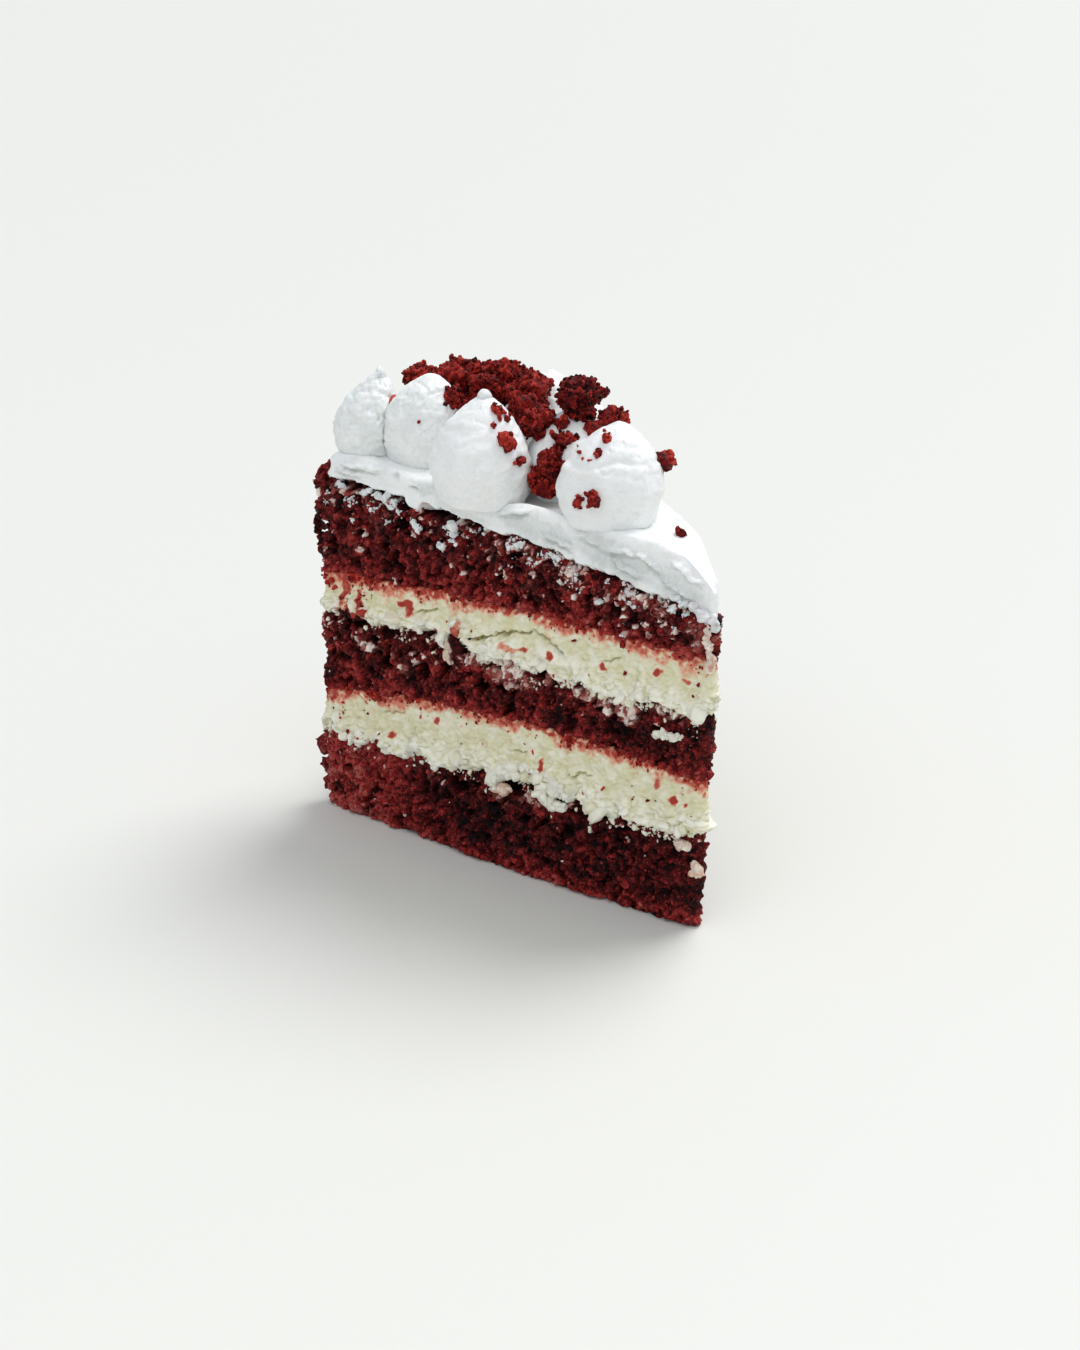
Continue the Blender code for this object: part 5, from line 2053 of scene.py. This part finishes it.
CRUMB_STRANDS = Strands(
    "crumb_bridge", Slot.CRUMB,
    (
        Strand(
            ((123.6, -2.6, 85.6, 1.2), (125.6, -3.2, 83.2, 1), (127, -3.4, 80.4, 0.8),
             (126.8, -3.3, 77.4, 0.75), (125.4, -3, 74.6, 0.9), (123.4, -2.6, 71.8, 1.2))
        ),
        Strand(
            ((126.4, -3, 78.4, 0.7), (124, -2.6, 78.6, 0.6), (122, -2.2, 79.4, 0.6),
             (120.4, -1.6, 77.6, 0.8))
        ),
        Strand(((125, -2.8, 89.4, 1.2), (123.4, -2.4, 91.6, 1.7), (122.6, -2.2, 94, 1.5))),
        Strand(((78.4, 0, 61, 1), (76.8, 0.3, 59.6, 1.5), (76.4, 0.4, 57.4, 1.7), (77.4, 0.2, 55.4, 1.2))),
        Strand(((75.2, -0.2, 60.6, 0.9), (74.6, 0.2, 58.6, 1.4), (73.6, 0.2, 57, 1))),
        Strand(((116, -0.6, 57.8, 1), (112.6, -0.5, 57.9, 1.3), (109, -0.6, 57.6, 1))),
    ),
    seed=450,
)

FILLING_STRANDS = Strands(
    "cream_curls", Slot.FILLING,
    (
        Strand(
            ((49.5, 0.9, 28.8, 0.9), (53.3, 1.1, 29.6, 1.1), (57.6, 1.5, 28.7, 1.5), (61, 1.8, 26.4, 1.8),
             (62.6, 1.8, 24, 1.5), (61.4, 1.6, 22.6, 1.1))
        ),
        Strand(((61.6, 1.4, 22.8, 1.1), (59.8, 1.6, 22.2, 1.2), (58.2, 1.2, 23.2, 0.8)), 0.3),
        Strand(
            ((48.6, 0.9, 28, 1.1), (49, 1.4, 25.4, 1.3), (46.6, 1.6, 23.3, 1.3), (43.6, 1.4, 22.2, 1.2),
             (41.2, 1.1, 23, 0.9))
        ),
        Strand(
            ((45.6, 0.9, 28.2, 1.2), (42.8, 1.5, 26.8, 1.6), (40, 1.3, 25.4, 1.3), (37.8, 0.9, 25.8, 0.7))
        ),
        Strand(
            ((17, 0.9, 47.6, 0.6), (15, 1.4, 48.6, 0.9), (12.6, 1.3, 48.8, 0.9), (10.3, 0.9, 48.2, 0.6))
        ),
        Strand(
            ((9.4, 0.6, 22.6, 0.7), (8.2, 1, 21.8, 0.9), (6.8, 0.9, 21.2, 0.8), (5.6, 0.6, 21.8, 0.6)), 0.25
        ),
        Strand(((4.4, 0.4, 17.2, 0.8), (3.2, 0.7, 16.3, 1.2), (2.2, 0.5, 15.2, 0.8)), 0.3),
        Strand(((8.4, 0.6, 56.2, 0.9), (7, 0.9, 55.2, 1), (6.2, 0.7, 54.2, 0.7))),
        Strand(
            ((4.6, 0.4, 77.4, 0.5), (4.8, 0.5, 74.4, 0.7), (3.8, 0.5, 70.6, 0.7),
             (2.9, 0.5, 67.6, 1.2)), 0.22
        ),
        Strand(((79.8, 0.6, 57, 1), (79.6, 0.9, 54.6, 0.9), (79.2, 0.6, 51.6, 0.5)), 0.3),
    ),
    seed=400,
)

FROSTING_STRANDS = Strands(
    "frosting_curls", Slot.FROSTING,
    (
        Strand(
            ((117.2, 0.2, 91.4, 0.5), (116.2, 0.6, 92.6, 0.7), (114.8, 0.3, 91.4, 0.6),
             (113.6, 0.1, 90.8, 0.4))
        ),
        Strand(((108.4, 0.2, 91.4, 0.6), (106.6, 0.5, 92, 0.7), (105.2, 0.3, 92.8, 0.5))),
        Strand(
            ((103.6, 0.4, 92.2, 0.6), (102, 0.5, 91, 0.7), (100.2, 0.4, 91.2, 0.7), (99, 0.4, 92.6, 0.5))
        ),
        Strand(((101, 0.3, 90, 0.5), (98.6, 0.4, 89.8, 0.6), (97, 0.4, 91.2, 0.6))),
        Strand(((91.4, 0.4, 86.4, 0.8), (89.6, 0.6, 85.4, 0.9))),
        Strand(((83.4, 0.4, 82.4, 0.7), (82, 0.6, 81.6, 0.9), (80.6, 0.4, 82, 0.6))),
        Strand(((79.8, 0.5, 87.8, 0.9), (78.2, 0.8, 87, 1.2), (77.8, 0.6, 85.6, 0.8))),
        Strand(((10, 0.2, 81, 0.6), (7.4, 0.5, 80, 1), (4.8, 0.4, 78.8, 1.1), (2.6, 0.2, 77, 0.8)), 0.12),
        Strand(((14.6, 0.2, 82.6, 0.4), (12.6, 0.4, 81.6, 0.7), (11, 0.2, 81.2, 0.5))),
    ),
    seed=470,
)

SCATTERS = (
    Scatter("frosting_bits", "sponge_top", 170, 0.62, True, 2.2, 0, 601, Slot.FROSTING, 0.3, 0.15,
            grid=COARSE_GRID, stretch=((92, 118, 1.2), (0, 13, -0.75)), run=5),
    Scatter("frosting_lumps", "sponge_top", 60, 0.85, True, 0.9, 0, 605, Slot.FROSTING, 0.2, 0.1,
            stretch=((92, 118, 2),), run=3),
    Scatter("filling_bits_middle", "sponge_middle", 420, 0.6, True, 1.2, 0.002, 611, Slot.FILLING, 0.25, 0.1,
            grid=COARSE_GRID),
    Scatter("filling_bits_bottom", "sponge_bottom", 420, 0.65, True, 1.2, 0.002, 621, Slot.FILLING, 0.25, 0.1,
            grid=COARSE_GRID),
    Scatter("filling_lumps_lower", "cream_lower", 150, 1.9, False, 1, 0, 631, Slot.FILLING, 0.12,
            same=True),
    Scatter("filling_lumps_upper", "cream_upper", 160, 1.7, False, 1, 0, 641, Slot.FILLING, 0.12,
            same=True),
    Scatter("crumb_specks_lower", "cream_lower", 420, 0.6, True, 0.8, 0.006, 651, Slot.CRUMB, 0.3, 0.65,
            grid=COARSE_GRID, stretch=((104, 122, 3),)),
    Scatter("crumb_specks_upper", "cream_upper", 460, 0.6, True, 0.9, 0.008, 661, Slot.CRUMB, 0.3, 0.65,
            grid=COARSE_GRID, stretch=((104, 122, 4),)),
)


def main() -> None:
    """Builds the slice and its studio."""
    logging.basicConfig(level=logging.INFO, format="%(name)s: %(message)s")
    outline = FORM.outline()
    effects = SharedEffects()
    sponge, crumb = RED_SPONGE.material(effects), LOOSE_CRUMB.material(effects)
    filling, frosting = CREAM_FILLING.material(effects), WHITE_FROSTING.material(effects)
    surfaces = {layer.name: layer.build(outline, sponge) for layer in SPONGES}
    surfaces |= {cream.name: cream.build(outline, filling) for cream in CREAMS}
    finishes = {Slot.CRUMB: crumb, Slot.FILLING: filling, Slot.FROSTING: frosting}
    for scatter in SCATTERS:
        scatter.build(*surfaces[scatter.layer], finishes[scatter.stuff])
    set_back = replace(FORM, radius=FORM.radius - FORM.rim_ledge)
    FROSTING.build(set_back.outline(), frosting)
    for number, dollop in enumerate(DOLLOPS):
        dollop.build(DOLLOPS, frosting, 500 + 11 * number)
    for piece in CRUMB_PIECES:
        piece.build(crumb)
    for crumbs in (SMALL_CRUMBS, FINE_CRUMBS):
        crumbs.build(DOLLOPS, crumb)
    for strands in (FILLING_STRANDS, FROSTING_STRANDS, CRUMB_STRANDS):
        strands.build(finishes[strands.slot])
    Studio().build()
    bpy.context.scene.view_settings.view_transform = "Standard"


if __name__ == "__main__":
    main()
